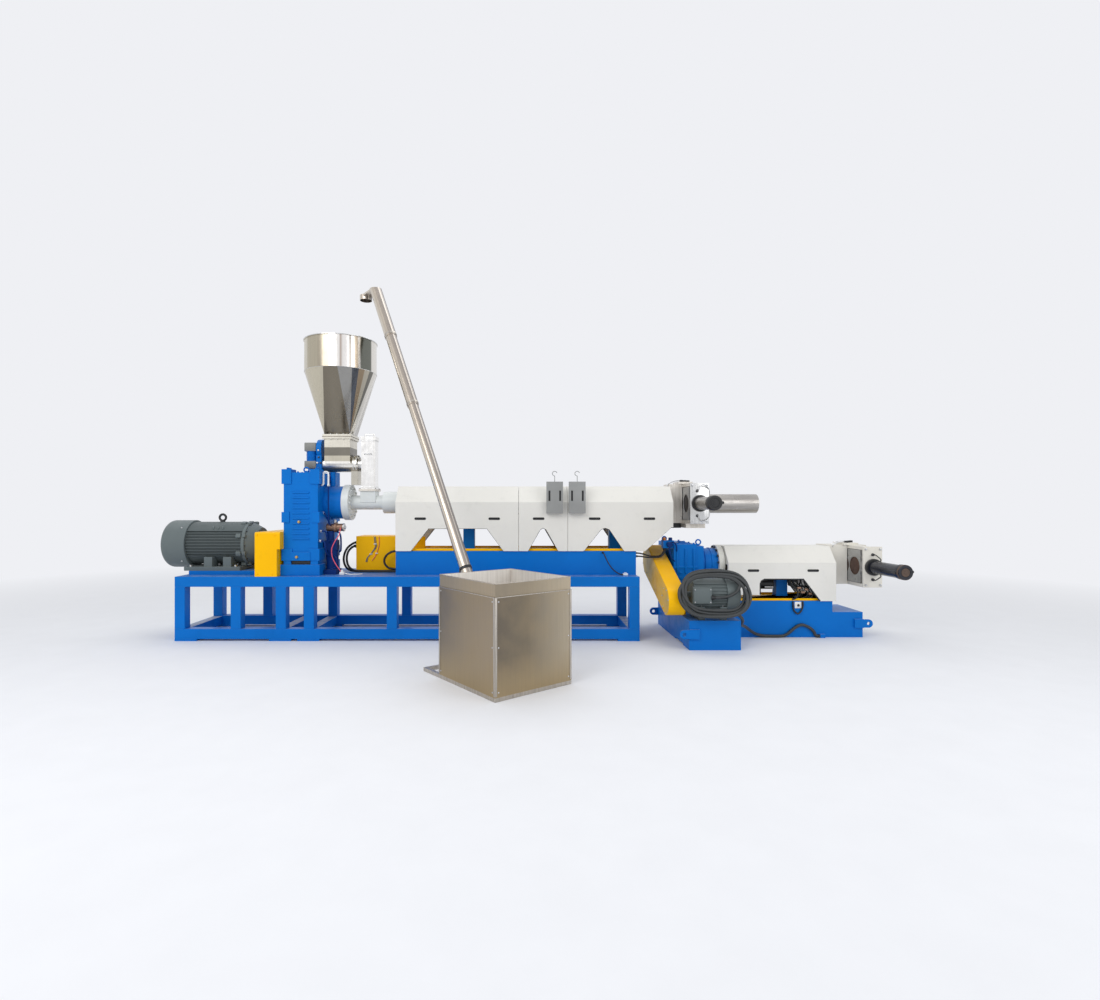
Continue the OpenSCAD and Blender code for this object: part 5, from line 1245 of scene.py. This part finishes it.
class EXTRUDER_OT_hopper(bpy.types.Operator):
    """The hopper, feeder trough, feeder drive and feed column."""
    bl_idname = "extruder.hopper"
    bl_label = "Hopper And Feeder"

    def execute(self, context):
        """Beads and bands are rings about the hopper's axis and the trough's axis."""
        finish_solid("hopper_drum", "hopper_drum", edge=0.001)
        finish_solid("hopper_cone", "hopper_cone", edge=0)
        finish_solid("feeder_trough", "trough_steel", edge=0.0025)
        finish_solid("feed_column", "column_steel", edge=0.0025)
        finish_solid("feeder_drive", "blue_casting", edge=0.005)
        small = sizes().small_bolt
        hub = np.array([HOPPER_X, 0, 0])
        bead = wire_ring(hub + [0, 0, 3.282], 0.4415, (0, 0, 1), 96, 0.0025)
        roll = wire_ring(hub + [0, 0, 3.672], 0.4475, (0, 0, 1), 96, 0.006, 10)
        piece("hopper_beads", [bead, roll], "bright_steel")
        z = 2.44
        along = np.linspace(-0.16, 0.16, 5)
        at = [hub + [s, side * 0.17, z] for s in along for side in (-1, 1)] + [
            hub + [side * 0.17, s, z]
            for s in along[1:-1]
            for side in (-1, 1)
        ]
        piece(
            "neck_bolts",
            bolts(at, (0, 0, -1), small * 0.7) + bolts(
                [np.array(p) + [0, 0, 0.059] for p in at], (0, 0, 1), small * 0.7,
            ),
            "zinc",
        )
        seam = [block(hub + [-0.1815, -0.1815, 2.4665], hub + [0.1815, 0.1815, 2.4715], 0.001)]
        piece("neck_gasket", seam, "rust_cap")
        bands = [hoop(0.0745, 0.082, 0.018, (x, 0, TROUGH_Z), (1, 0, 0)) for x in (-0.7, -0.674)]
        bands += [hoop(0.117, 0.124, 0.01, (x, 0, TROUGH_Z), (1, 0, 0), 48) for x in (-0.757, -0.722)]
        piece("feeder_bands", bands, "bright_steel")
        piece("feeder_end_bolts", bolts(
            ring_places((-0.71, 0, TROUGH_Z), 0.103, (1, 0, 0), 8, 20), (1, 0, 0), small * 0.7,
        ), "dark_bolt")
        port = [
            block((-0.684, -0.116, 1.79), (-0.46, 0.116, 1.8035), 0.002),
            block((-0.684, -0.116, 1.8045), (-0.46, 0.116, 1.818), 0.002),
        ]
        piece("feed_port_flange", port, "plate_steel")
        piece("feed_port_bolts", bolts([
            (x, y, 1.818)
            for x in (-0.672, -0.472)
            for y in (-0.104, 0.104)
        ], (0, 0, 1), small * 0.8), "dark_bolt")
        x = COLUMN_X
        trim = [block(
            (x - 0.092, -0.085, z - 0.004), (x + 0.092, 0.085, z + 0.004), 0.001,
        ) for z in (1.846, 2.428)]
        piece("feed_column_trim", trim, "bright_steel")
        grip = bent([
            (x - 0.045, -0.082, 2.255), (x - 0.045, -0.105, 2.258), (x - 0.03, -0.112, 2.262),
            (x + 0.03, -0.112, 2.262), (x + 0.045, -0.105, 2.258), (x + 0.045, -0.082, 2.255),
        ], 0.005, 10, 0.01)
        piece("feed_column_grip", [grip], "zinc")
        drive_x = HOPPER_X - 0.1595 - 0.05 - 0.138
        caps = [
            block((drive_x - 0.073, -0.133, 2.29), (drive_x + 0.073, 0.013, 2.398), 0.01),
            block((drive_x - 0.073, -0.133, 2.074), (drive_x + 0.073, 0.013, 2.17), 0.01),
        ]
        piece("feeder_motor_caps", caps, "grey_plastic")
        fins = [
            hoop(0.06, 0.068, 0.006, (drive_x, -0.06, z), (0, 0, 1), 32)
            for z in np.arange(2.18, 2.286, 0.018)
        ]
        piece("feeder_motor_fins", fins, "blue_casting")
        face = drive_x + 0.138
        at = [(face - 0.033, -0.12, z) for z in (2.075, 2.215)] + [(face - 0.01, -0.12, 2.145)]
        piece(
            "feeder_case_bolts",
            bolts(at, (0, -1, 0), small * 1.2) + bolts(
                ring_places((face - 0.06, -0.02, 2.32), 0.102, (-1, 0, 0), 8), (-1, 0, 0), small,
            ),
            "dark_bolt",
        )
        piece("feeder_case_plugs", bolts(
            [(face - 0.05, -0.12, 2.145), (face - 0.03, -0.142, 2.3)], (0, -1, 0), small * 1.2,
        ), "zinc")
        return {"FINISHED"}


class EXTRUDER_OT_barrel(bpy.types.Operator):
    """The feed barrels, the heated barrels with their bands, and the blowers under them."""
    bl_idname = "extruder.barrel"
    bl_label = "Barrels And Blowers"

    def execute(self, context):
        """A heater band is a ring about the screw's axis, and its clamp a small block under it."""
        finish_solid("feed_barrel", "barrel_grey")
        finish_solid("feed_barrel_2", "flange_white")
        finish_solid("heated_barrel", "heater", edge=0)
        finish_solid("barrel_blowers", "black_plastic", edge=0.004)
        pitch = sizes().band_pitch
        band = turned([(0.1475, 0), (0.153, 0), (0.153, pitch - 0.022), (0.1475, pitch - 0.022)], 48)
        spans = ((-0.11, 3.13, SCREW_Z), (3.945, 5.1, SCREW_2_Z))
        rings, clamps = [], []
        for x0, x1, z in spans:
            at = np.array([(x, 0, z) for x in np.arange(x0, x1 - pitch, pitch)])
            rings.append(Loop(place(band, at, (1, 0, 0))))
            clamp = plate(rounded(0.028, pitch - 0.04, 0.004), 0.026, 0.002)
            clamps.append(place(clamp, at + [pitch / 2 - 0.011, -0.106, -0.106], (0, -1, -1), (1, 0, 0)))
            clamps.append(place(clamp, at + [pitch / 2 - 0.011, 0.106, -0.106], (0, 1, -1), (1, 0, 0)))
        piece("heater_bands", rings, "heater")
        piece("heater_clamps", clamps, "zinc")
        bolts_2 = bolts(
            ring_places((3.799, 0, SCREW_2_Z), 0.2065, (-1, 0, 0), 14, 6), (-1, 0, 0),
            sizes().large_bolt * 0.8,
        )
        piece("flange_2_bolts", bolts_2, "dark_bolt")
        ends = []
        for x, z in [
            (COVER_X[0] + a, SCREW_Z)
            for a in (0.48, 1.24, 1.78, 2.43)
        ] + [(COVER_4_X + 0.52, SCREW_2_Z)]:
            for side in (-1, 1):
                face = (x + side * 0.13, 0, z - 0.26)
                ends.append(spun([
                    (0, -0.002), (0.06, -0.002), (0.064, 0.004), (0.04, 0.008), (0.012, 0.01), (0, 0.01),
                ], face, (side, 0, 0), 24))
                ends += [hoop(r, r + 0.004, 0.011, face, (side, 0, 0), 24) for r in (0.026, 0.04, 0.054)]
        piece("blower_grilles", ends, "gloss_black")
        piece("blower_stripe", [
            block((4.42, -0.0745, 0.578), (4.524, -0.058, 0.594), 0.002)
        ], "white_plastic")
        loom = []
        for k in range(11):
            x, y = 4.69 + 0.021 * k, -0.268 + 0.017 * (k * 5 % 11)
            lift = 0.02 * (k % 3)
            loom.append(bent([
                (x - 0.02, y, 0.462), (x + 0.02, y, 0.468), (x + 0.05 + lift, y, 0.505),
                (x + 0.055, y * 0.95, 0.56 + lift), (x + 0.02 - lift, y * 0.9, 0.61),
                (x - 0.02, y * 0.85, 0.66), (x - 0.045 + lift, y * 0.8, 0.745),
            ], 0.0095 - 0.0012 * (k % 4), 8, 0.02))
        piece("heater_loom", loom, "black_rubber")
        tabs = [
            block((x - 0.022, y - 0.014, z - 0.012), (x + 0.022, y + 0.014, z + 0.012), 0.003)
            for x, y, z in (
                (4.8, -0.272, 0.548), (4.85, -0.262, 0.58), (4.9, -0.255, 0.53), (4.76, -0.262, 0.6),
            )
        ]
        piece("heater_loom_clips", tabs, "bronze")
        return {"FINISHED"}


class EXTRUDER_OT_covers(bpy.types.Operator):
    """The white covers with their recessed grips, and the two hanging boxes."""
    bl_idname = "extruder.covers"
    bl_label = "Covers"

    def execute(self, context):
        """Each grip is a black frame, a tube on a round-cornered outline, over a shallow cup."""
        for i in (1, 2, 3, 4):
            finish_solid(f"cover_{i}", "white_paint", edge=0.003)
        finish_solid("hanging_boxes", "box_grey", edge=0.002)
        a, b, c = COVER_X
        slots = [(x, 0.32, 1.45) for x in (a + 0.302, a + 1.202, b + 0.242, c + 0.325, c + 0.992)]
        slots += [(COVER_4_X + x, 0.31, 0.817) for x in (0.304, 1.032)]
        outline = rounded(0.134, 0.024, 0.011, 5)
        frames, cups = [], []
        for x, half, z in slots:
            for side in (-1, 1):
                path = np.stack([
                    x + outline[:, 0], np.full(len(outline), side * (half + 0.0005)), z + outline[:, 1],
                ], -1)
                frames.append(Loop(tube(path, 0.0035, 8, True, (0, 1, 0))))
                y = sorted((side * (half - 0.0045), side * (half - 0.022)))
                cups.append(block((x - 0.072, y[0], z - 0.016), (x + 0.072, y[1], z + 0.016), 0.003))
        piece("cover_grip_frames", frames, "black_plastic")
        piece("cover_grip_cups", cups, "black_plastic")
        # Black tubes along the cut edges of the windows: painted shade on the covers' edges
        edge_shades = []
        for half, radius, corners in WINDOWS:
            for side in (-1, 1):
                line = np.array([(x, side * (half - 0.0045), z) for x, z in corners])
                way = unit(np.diff(line, axis=0)) * 0.008
                bends = np.stack([line[1:-1] - way[:-1], line[1:-1], line[1:-1] + way[1:]], 1).reshape(-1, 3)
                edge_shades.append(tube(np.vstack([line[:1], bends, line[-1:]]), radius, 8, normal=(0, 1, 0)))
        piece("window_edge_shades", edge_shades, "black_rubber")
        # A black panel inside the back of cover 4: painted shade seen through its window
        piece("cover_4_painted_shade", [block((4.262, 0.286, 0.6), (5.002, 0.298, 0.8), 0.003)], "black_plastic")
        first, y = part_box("hanging_boxes")[0][:2]
        at = [first + i * BOX_PITCH + s for i in (0, 1) for s in (0.0345, BOX_WIDTH - 0.0345)]
        cups = [block((x - 0.012, y + 0.012, 1.661), (x + 0.012, y + 0.032, 1.794), 0.002) for x in at]
        piece("hanging_box_slots", cups, "black_plastic")
        return {"FINISHED"}


class EXTRUDER_OT_changers(bpy.types.Operator):
    """The two screen changers: bodies, slides with screens, and hydraulic cylinders."""
    bl_idname = "extruder.changers"
    bl_label = "Screen Changers"

    def execute(self, context):
        """A cylinder is a turned part with its rod bore. Screens are discs in the slide's recesses."""
        small, large = sizes().small_bolt, sizes().large_bolt
        for key, x, z, length in CHANGERS:
            first = key == "1"
            finish_solid("changer_body_" + key, "plate_steel" if first else "cream_paint", edge=0.003)
            finish_solid("changer_slide_" + key, "machined", edge=0.0015, body="slide_" + key)
            axis_x = x + 0.112
            front = -0.43
            lip = place(plate(rounded(0.224, 0.49, 0.006), 0.03, 0.003), (axis_x, -0.4, z), (0, -1, 0))
            piece(
                "changer_plate_" + key, [lip], "bright_steel" if first else "cream_paint", "bare_steel",
                replaces=("changer_cylinder_" + key,),
            )
            bore = 0.029
            ring = [(bore, 0), (0.098, 0), (0.1, 0.003), (0.1, 0.034), (0.094, 0.04), (bore, 0.04)]
            piece(
                "changer_ring_" + key, [Loop(spun(ring, (axis_x, front, z), (0, -1, 0), 48))],
                "black_plastic",
            )
            end = length - 0.06
            tube_profile = [(bore, 0.04), (0.076, 0.04), (0.076, end), (bore, end)]
            piece(
                "changer_cylinder_tube_" + key,
                [Loop(spun(tube_profile, (axis_x, front, z), (0, -1, 0), 48))],
                "pipe_steel" if first else "gloss_black", "bare_steel",
            )
            cap = [
                (0, end - 0.0005), (0.08, end - 0.0005), (0.084, end + 0.004), (0.084, end + 0.08),
                (0.078, end + 0.09), (0.052, end + 0.09), (0.048, end + 0.084), (0, end + 0.084),
            ]
            piece(
                "changer_cap_" + key, [spun(cap, (axis_x, front, z), (0, -1, 0), 48)],
                "black_plastic" if first else "gloss_black",
            )
            face = spun([
                (0, -0.001), (0.047, -0.001), (0.047, 0.002), (0.02, 0.0025), (0.018, 0.005), (0, 0.005),
            ], (axis_x, front - end - 0.084, z), (0, -1, 0), 40)
            rim = Loop(spun([
                (0.05, -0.002), (0.0835, -0.006), (0.0855, -0.03), (0.0845, -0.03), (0.0845, -0.006),
            ], (axis_x, front - end - 0.088, z), (0, -1, 0), 40))
            piece("changer_cap_face_" + key, [face], "black_plastic" if first else "rust_cap")
            if not first:
                piece("changer_cap_rust_" + key, [rim], "rust_cap")
            nub = spun(
                [(0, -0.004), (0.016, -0.004), (0.016, 0.022), (0.01, 0.03), (0, 0.03)],
                (axis_x + 0.083, front - end - 0.045, z + 0.004), (1, 0, 0), 20,
            )
            piece("changer_port_" + key, [nub], "black_plastic")
            corners = [(axis_x + sx * 0.088, front, z + sz * 0.216) for sx in (-1, 1) for sz in (-1, 1)]
            piece("changer_bolts_" + key, bolts(corners, (0, -1, 0), large * 0.75), "zinc")
            fit_x = axis_x - 0.03 if first else axis_x - 0.005
            marks = [(fit_x, front, z + s * 0.15) for s in (-1, 1)]
            fittings = [spun([
                (0, -0.001), (0.017, -0.001), (0.017, 0.014), (0.011, 0.018), (0.011, 0.034), (0, 0.034),
            ], marks, (0, -1, 0), 20)]
            piece("changer_fittings_" + key, fittings, "dark_bolt")
            lines = []
            for s in (-1, 1):
                way = np.array([fit_x, front, z + s * 0.15]) + np.array(CHANGER_LINES[key]) * [1, 1, s]
                lines.append(bent(way, 0.006, 10, 0.01))
            piece("changer_lines_" + key, lines, "zinc" if first else "black_rubber", "bare_steel")
            discs, rims = [], []
            for y in (0.0, -0.235):
                for face, way in ((x, -1), (x + 0.06, 1)):
                    deep = face - way * 0.014
                    discs.append(spun([
                        (0, -0.001), (0.104, -0.001), (0.104, 0.005), (0.098, 0.007), (0, 0.0075),
                    ], (deep, y, z), (way, 0, 0), 48))
                    rims.append(Loop(spun(
                        [(0.101, 0.0), (0.1095, 0.0), (0.1095, 0.01), (0.103, 0.01)], (deep, y, z),
                        (way, 0, 0), 48,
                    )))
            piece(
                "changer_screens_" + key, discs, "dark_screen" if first else "rust_screen",
                body="slide_" + key,
            )
            piece(
                "changer_screen_rims_" + key, rims, "dark_bolt" if first else "rust_cap", "bronze",
                "slide_" + key,
            )
            top = z + 0.245 + 0.028
            plugs = [block(
                (x - 0.035 + i * 0.055, -0.095 + 0.05 * i, top - 0.001),
                (x + 0.005 + i * 0.055, -0.06 + 0.05 * i, top + 0.024), 0.005,
            ) for i in range(3)]
            piece("changer_top_plugs_" + key, plugs, "black_plastic")
            wires = [bent([
                (x - 0.034 + i * 0.055, -0.078 + 0.05 * i, top + 0.012),
                (x - 0.06 + i * 0.03, -0.08 + 0.045 * i, top + 0.016),
                (x - 0.11, -0.082 + 0.04 * i, top + 0.006),
                (x - 0.175, -0.085 + 0.035 * i, top - 0.024 - 0.006 * i),
                (x - 0.19, -0.086 + 0.035 * i, top - 0.052),
            ], 0.0045, 8, 0.01) for i in range(3)]
            piece("changer_top_leads_" + key, wires, "zinc")
            piece(
                "crosshead_bolts_" + key,
                bolts([(x + 0.03, -0.395, z + s * 0.042) for s in (-1, 1)], (0, -1, 0), small), "dark_bolt",
                body="slide_" + key,
            )
        shape = plate(np.array([(3.184, 1.33), (3.362, 1.33), (3.362, 1.392), (3.22, 1.392)]), 0.064, 0.003)
        piece("changer_bracket", [
            np.stack([shape[..., 0], -0.018 - shape[..., 2], shape[..., 1]], -1)
        ], "black_plastic")
        finish_solid("discharge_tube", "pipe_steel", "stainless", 0.001)
        return {"FINISHED"}


class EXTRUDER_OT_second_stage(bpy.types.Operator):
    """The second stage's base, gearbox and motor."""
    bl_idname = "extruder.second_stage"
    bl_label = "Second Stage"

    def execute(self, context):
        """Bolts stand on circles and rows. The motor's cover rings are turned about its axis."""
        finish_solid("base_2_platform", "blue_paint")
        finish_solid("base_2_box", "blue_paint")
        finish_solid("gearbox_2", "blue_casting", edge=0.006)
        finish_solid("motor_2", "motor_grey", edge=0.003)
        small = sizes().small_bolt
        row = np.linspace(3.245, 3.5, 5)
        heads = bolts([(x, -0.2722, 0.785) for x in row], (0, -1, 0), small)
        heads += bolts([
            (x, y, 1.136)
            for x in (3.255, 3.48)
            for y in (-0.225, 0.0, 0.225, 0.48)
        ], (0, 0, 1), small * 1.3)
        piece("gearbox_2_bolts", heads, "blue_casting")
        lid = [
            block((3.285, -0.17, 1.134), (3.455, 0.15, 1.146), 0.004),
            block((3.33, -0.1, 1.144), (3.41, -0.02, 1.164), 0.008),
        ]
        rib = plate(rounded(0.018, 0.3, 0.006), 0.02, 0.004) - [0, 0, 0.003]
        lid.append(place(rib, [(x, -0.26, 0.93) for x in (3.27, 3.37, 3.47)], (0, -1, 0)))
        strap = turned([(0.184, 0), (0.194, 0), (0.194, 0.02), (0.184, 0.02)], 48)
        lid_loops = [Loop(place(strap, [(x, 0, SCREW_2_Z) for x in (3.64, 3.72)], (1, 0, 0)))]
        piece("gearbox_2_ribs", lid + lid_loops, "blue_casting")
        pump = [
            spun([
                (0, -0.003), (0.03, -0.003), (0.034, 0.003), (0.034, 0.052), (0.028, 0.06), (0, 0.06),
            ], (3.168, -0.245, 1.132), (0, -1, 0), 28),
            spun([
                (0, -0.003), (0.024, -0.003), (0.024, 0.03), (0.016, 0.036), (0, 0.036),
            ], (3.196, -0.205, 1.18), (0, 0, 1), 24),
            bent([
                (3.168, -0.292, 1.1), (3.166, -0.298, 1.07), (3.17, -0.3, 1.03), (3.184, -0.296, 0.985),
                (3.204, -0.286, 0.95), (3.232, -0.268, 0.93),
            ], 0.009, 10, 0.012),
            bent([
                (3.192, -0.262, 1.16), (3.214, -0.28, 1.16), (3.236, -0.292, 1.145), (3.25, -0.292, 1.11),
                (3.256, -0.284, 1.07), (3.262, -0.262, 1.05),
            ], 0.008, 10, 0.012),
        ]
        piece("oil_breather", [spun([
            (0, -0.003), (0.017, -0.003), (0.019, 0.004), (0.017, 0.03), (0.008, 0.036), (0, 0.036),
        ], (3.124, -0.195, 1.18), (0, 0, 1), 20)], "orange_plastic")
        piece("gearbox_2_pump", pump, "dark_blue")
        y, z = MOTOR_2_AXIS
        axis = np.array([0, y, z])
        end = 3.796
        wires = grille(
            axis + [end + 0.003, 0, 0], np.arange(0.035, 0.155, 0.022), 40, 0.0028, 6, (0.01, 0.15), 0.004,
        )
        piece("motor_2_grille", wires, "zinc")
        piece("motor_2_shadow", [spun(
            [(0, -0.001), (0.152, -0.001), (0.152, 0.001), (0, 0.001)], axis + [end, 0, 0], (1, 0, 0), 40,
        )], "black_plastic")
        lid = [
            block((3.262, -0.982, 0.524), (3.462, -0.966, 0.691), 0.006),
            block((3.256, -0.968, 0.514), (3.468, -0.96, 0.701), 0.002),
        ]
        piece("motor_2_box_lid", lid, "motor_grey")
        piece(
            "motor_2_screws",
            bolts(
                [(x, -0.982, z2) for x in (3.276, 3.448) for z2 in (0.538, 0.677)], (0, -1, 0), small * 0.7,
            ) + bolts([(x, yy, 0.4745) for x in (3.375, 3.615) for yy in (-0.88, -0.6)], (0, 0, 1), small),
            "zinc",
        )
        plate_at = [block((4.694, -0.294, 0.356), (4.776, -0.2895, 0.434), 0.002)]
        piece("base_tag_plate", plate_at, "white_plastic")
        knob = spun(
            [(0, 0), (0.015, 0), (0.015, 0.008), (0.012, 0.012), (0, 0.012)], (4.738, -0.2935, 0.392),
            (0, -1, 0), 20,
        )
        bow = bent([
            (4.67, -0.302, 0.44), (4.668, -0.306, 0.4), (4.672, -0.306, 0.35), (4.692, -0.306, 0.312),
            (4.722, -0.306, 0.292), (4.752, -0.306, 0.306), (4.776, -0.306, 0.345), (4.788, -0.306, 0.395),
            (4.786, -0.302, 0.44),
        ], 0.01, 10, 0.012)
        piece("base_handle", [knob, bow], "black_plastic")
        return {"FINISHED"}


def from_bin(u, v, z):
    """A point given along the bin's own sides: corner + u BIN_U + v BIN_V, at height z."""
    return BIN_CORNER + u * BIN_U + v * BIN_V + [0, 0, z]


def bin_sides(long_bar, deep_bar, back, z, out):
    """A bar along each side of the bin at height z, set back from it, that faces out (1) or in (-1)."""
    up = (0, 0, 1)
    return [
        place(long_bar, from_bin(BIN_WIDE / 2, back, z), -out * BIN_V, up),
        place(long_bar, from_bin(BIN_WIDE / 2, BIN_DEEP - back, z), out * BIN_V, up),
        place(deep_bar, from_bin(back, BIN_DEEP / 2, z), -out * BIN_U, up),
        place(deep_bar, from_bin(BIN_WIDE - back, BIN_DEEP / 2, z), out * BIN_U, up),
    ]


class EXTRUDER_OT_loader(bpy.types.Operator):
    """The screw loader: bin, base, tube and spout."""
    bl_idname = "extruder.loader"
    bl_label = "Screw Loader"

    def execute(self, context):
        """Strips are bars along the bin's sides and corners. Clamps are rings about the tube's axis."""
        finish_solid("loader_bin", "bin_steel", edge=0.0015)
        finish_solid("loader_base", "bin_bright", edge=0.002)
        finish_solid("loader_tube", "loader_steel", edge=0.0015)
        finish_solid("loader_spout", "loader_steel", edge=0.001)
        wide, deep, top, collar = BIN_WIDE, BIN_DEEP, BIN_TOP, COLLAR_Z
        strips = []
        for u, v, su, sv in ((0, 0, 1, 1), (wide, 0, -1, 1), (wide, deep, -1, -1), (0, deep, 1, -1)):
            flat_u = plate(rounded(0.02, collar - 0.045, 0.002), 0.0035, 0.001)
            strips.append(place(
                flat_u, from_bin(u + su * 0.01, v, (collar + 0.045) / 2), -sv * BIN_V, (0, 0, 1),
            ))
            strips.append(place(
                flat_u, from_bin(u, v + sv * 0.01, (collar + 0.045) / 2), -su * BIN_U, (0, 0, 1),
            ))
        for z, h in ((collar + 0.003, 0.007), (top - 0.004, 0.006)):
            side = 0.0 if z < 0.9 else 0.005
            bar_u = plate(rounded(wide - 2 * side, h, 0.0015), 0.0035, 0.001)
            bar_v = plate(rounded(deep - 2 * side, h, 0.0015), 0.0035, 0.001)
            strips += bin_sides(bar_u, bar_v, side, z, 1)
        piece("bin_strips", strips, "bin_bright")
        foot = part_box("loader_bin")[0][2] + 0.004
        tall, middle = top - 0.002 - foot, (top - 0.002 + foot) / 2
        liner_u = plate(rounded(wide - 0.018, tall, 0.002), 0.0025, 0.0005)
        liner_v = plate(rounded(deep - 0.018, tall, 0.002), 0.0025, 0.0005)
        bottom = plate(rounded(wide - 0.018, deep - 0.018, 0.002), 0.0025, 0.0005)
        liner = bin_sides(liner_u, liner_v, 0.009, middle, -1)
        liner.append(place(bottom, from_bin(wide / 2, deep / 2, foot), (0, 0, 1), BIN_V))
        piece("bin_liner", liner, "bin_light")
        rivet = turned([(0, -0.001), (0.0075, -0.001), (0.007, 0.0025), (0.004, 0.005), (0, 0.0055)], 14)
        rows = []
        for z in (0.075, 0.44, 0.815):
            for s in (0.036, wide - 0.036):
                rows.append(place(rivet, from_bin(s, 0, z), -BIN_V))
                rows.append(place(rivet, from_bin(s, deep, z), BIN_V))
            for s in (0.036, deep - 0.036):
                rows.append(place(rivet, from_bin(0, s, z), -BIN_U))
                rows.append(place(rivet, from_bin(wide, s, z), BIN_U))
        piece("bin_rivets", rows, "zinc")
        slope = math.radians(57.9)
        way = math.cos(slope) * BIN_V + [0, 0, math.sin(slope)]
        start = from_bin(0.376, 1.02, top)
        clamps = []
        for s, r in ((2.09, 0.065), (3.16, 0.072)):
            ring = turned([
                (r - 0.001, -0.014), (r + 0.003, -0.012), (r + 0.003, 0.012), (r - 0.001, 0.014),
            ], 40)
            clamps.append(Loop(place(ring, start + way * (s + 0.03), way)))
        piece("loader_tube_clamps", clamps, "bin_bright")
        band = Loop(spun([
            (0.0575, -0.014), (0.063, -0.014), (0.063, 0.014), (0.0575, 0.014),
        ], start + way * 0.02, way, 40))
        tail = bent([
            start + way * 0.02 - 0.062 * BIN_U, start + way * 0.0 - 0.078 * BIN_U,
            start - way * 0.03 - 0.082 * BIN_U, start - way * 0.06 - 0.078 * BIN_U,
        ], 0.004, 8, 0.01)
        piece("loader_strap", [band, tail], "black_rubber")
        return {"FINISHED"}


CLASSES = (
    ExtruderColours, ExtruderSizes,
    EXTRUDER_OT_stage, EXTRUDER_OT_cables, EXTRUDER_OT_frame, EXTRUDER_OT_main_motor, EXTRUDER_OT_guards,
    EXTRUDER_OT_gearbox, EXTRUDER_OT_hopper, EXTRUDER_OT_barrel, EXTRUDER_OT_covers, EXTRUDER_OT_changers,
    EXTRUDER_OT_second_stage, EXTRUDER_OT_loader,
)


class EXTRUDER_PT_sidebar(bpy.types.Panel):
    """Lists the colours, the sizes and the parts of the line."""
    bl_idname = "EXTRUDER_PT_sidebar"
    bl_label = "Plastic Extruder Line"
    bl_space_type = "VIEW_3D"
    bl_region_type = "UI"
    bl_category = "Extruder"

    def draw(self, context):
        """One row for each colour, size and operator."""
        for group in (context.scene.extruder_colours, context.scene.extruder_sizes):
            box = self.layout.box()
            for key in group.__annotations__:
                box.prop(group, key)
        for made in CLASSES[2:]:
            self.layout.operator(made.bl_idname)


def register():
    """Registers the settings, the operators and the panel."""
    for made in CLASSES + (EXTRUDER_PT_sidebar,):
        bpy.utils.register_class(made)
    bpy.types.Scene.extruder_colours = bpy.props.PointerProperty(type=ExtruderColours)
    bpy.types.Scene.extruder_sizes = bpy.props.PointerProperty(type=ExtruderSizes)


def unregister():
    """Takes the settings, the operators and the panel out again."""
    del bpy.types.Scene.extruder_colours
    del bpy.types.Scene.extruder_sizes
    for made in reversed(CLASSES + (EXTRUDER_PT_sidebar,)):
        bpy.utils.unregister_class(made)


def main():
    """Builds the line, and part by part."""
    register()
    bpy.ops.extruder.stage()
    bpy.ops.extruder.cables()
    bpy.ops.extruder.frame()
    bpy.ops.extruder.main_motor()
    bpy.ops.extruder.guards()
    bpy.ops.extruder.gearbox()
    bpy.ops.extruder.hopper()
    bpy.ops.extruder.barrel()
    bpy.ops.extruder.covers()
    bpy.ops.extruder.changers()
    bpy.ops.extruder.second_stage()
    bpy.ops.extruder.loader()


if __name__ == "__main__":
    main()
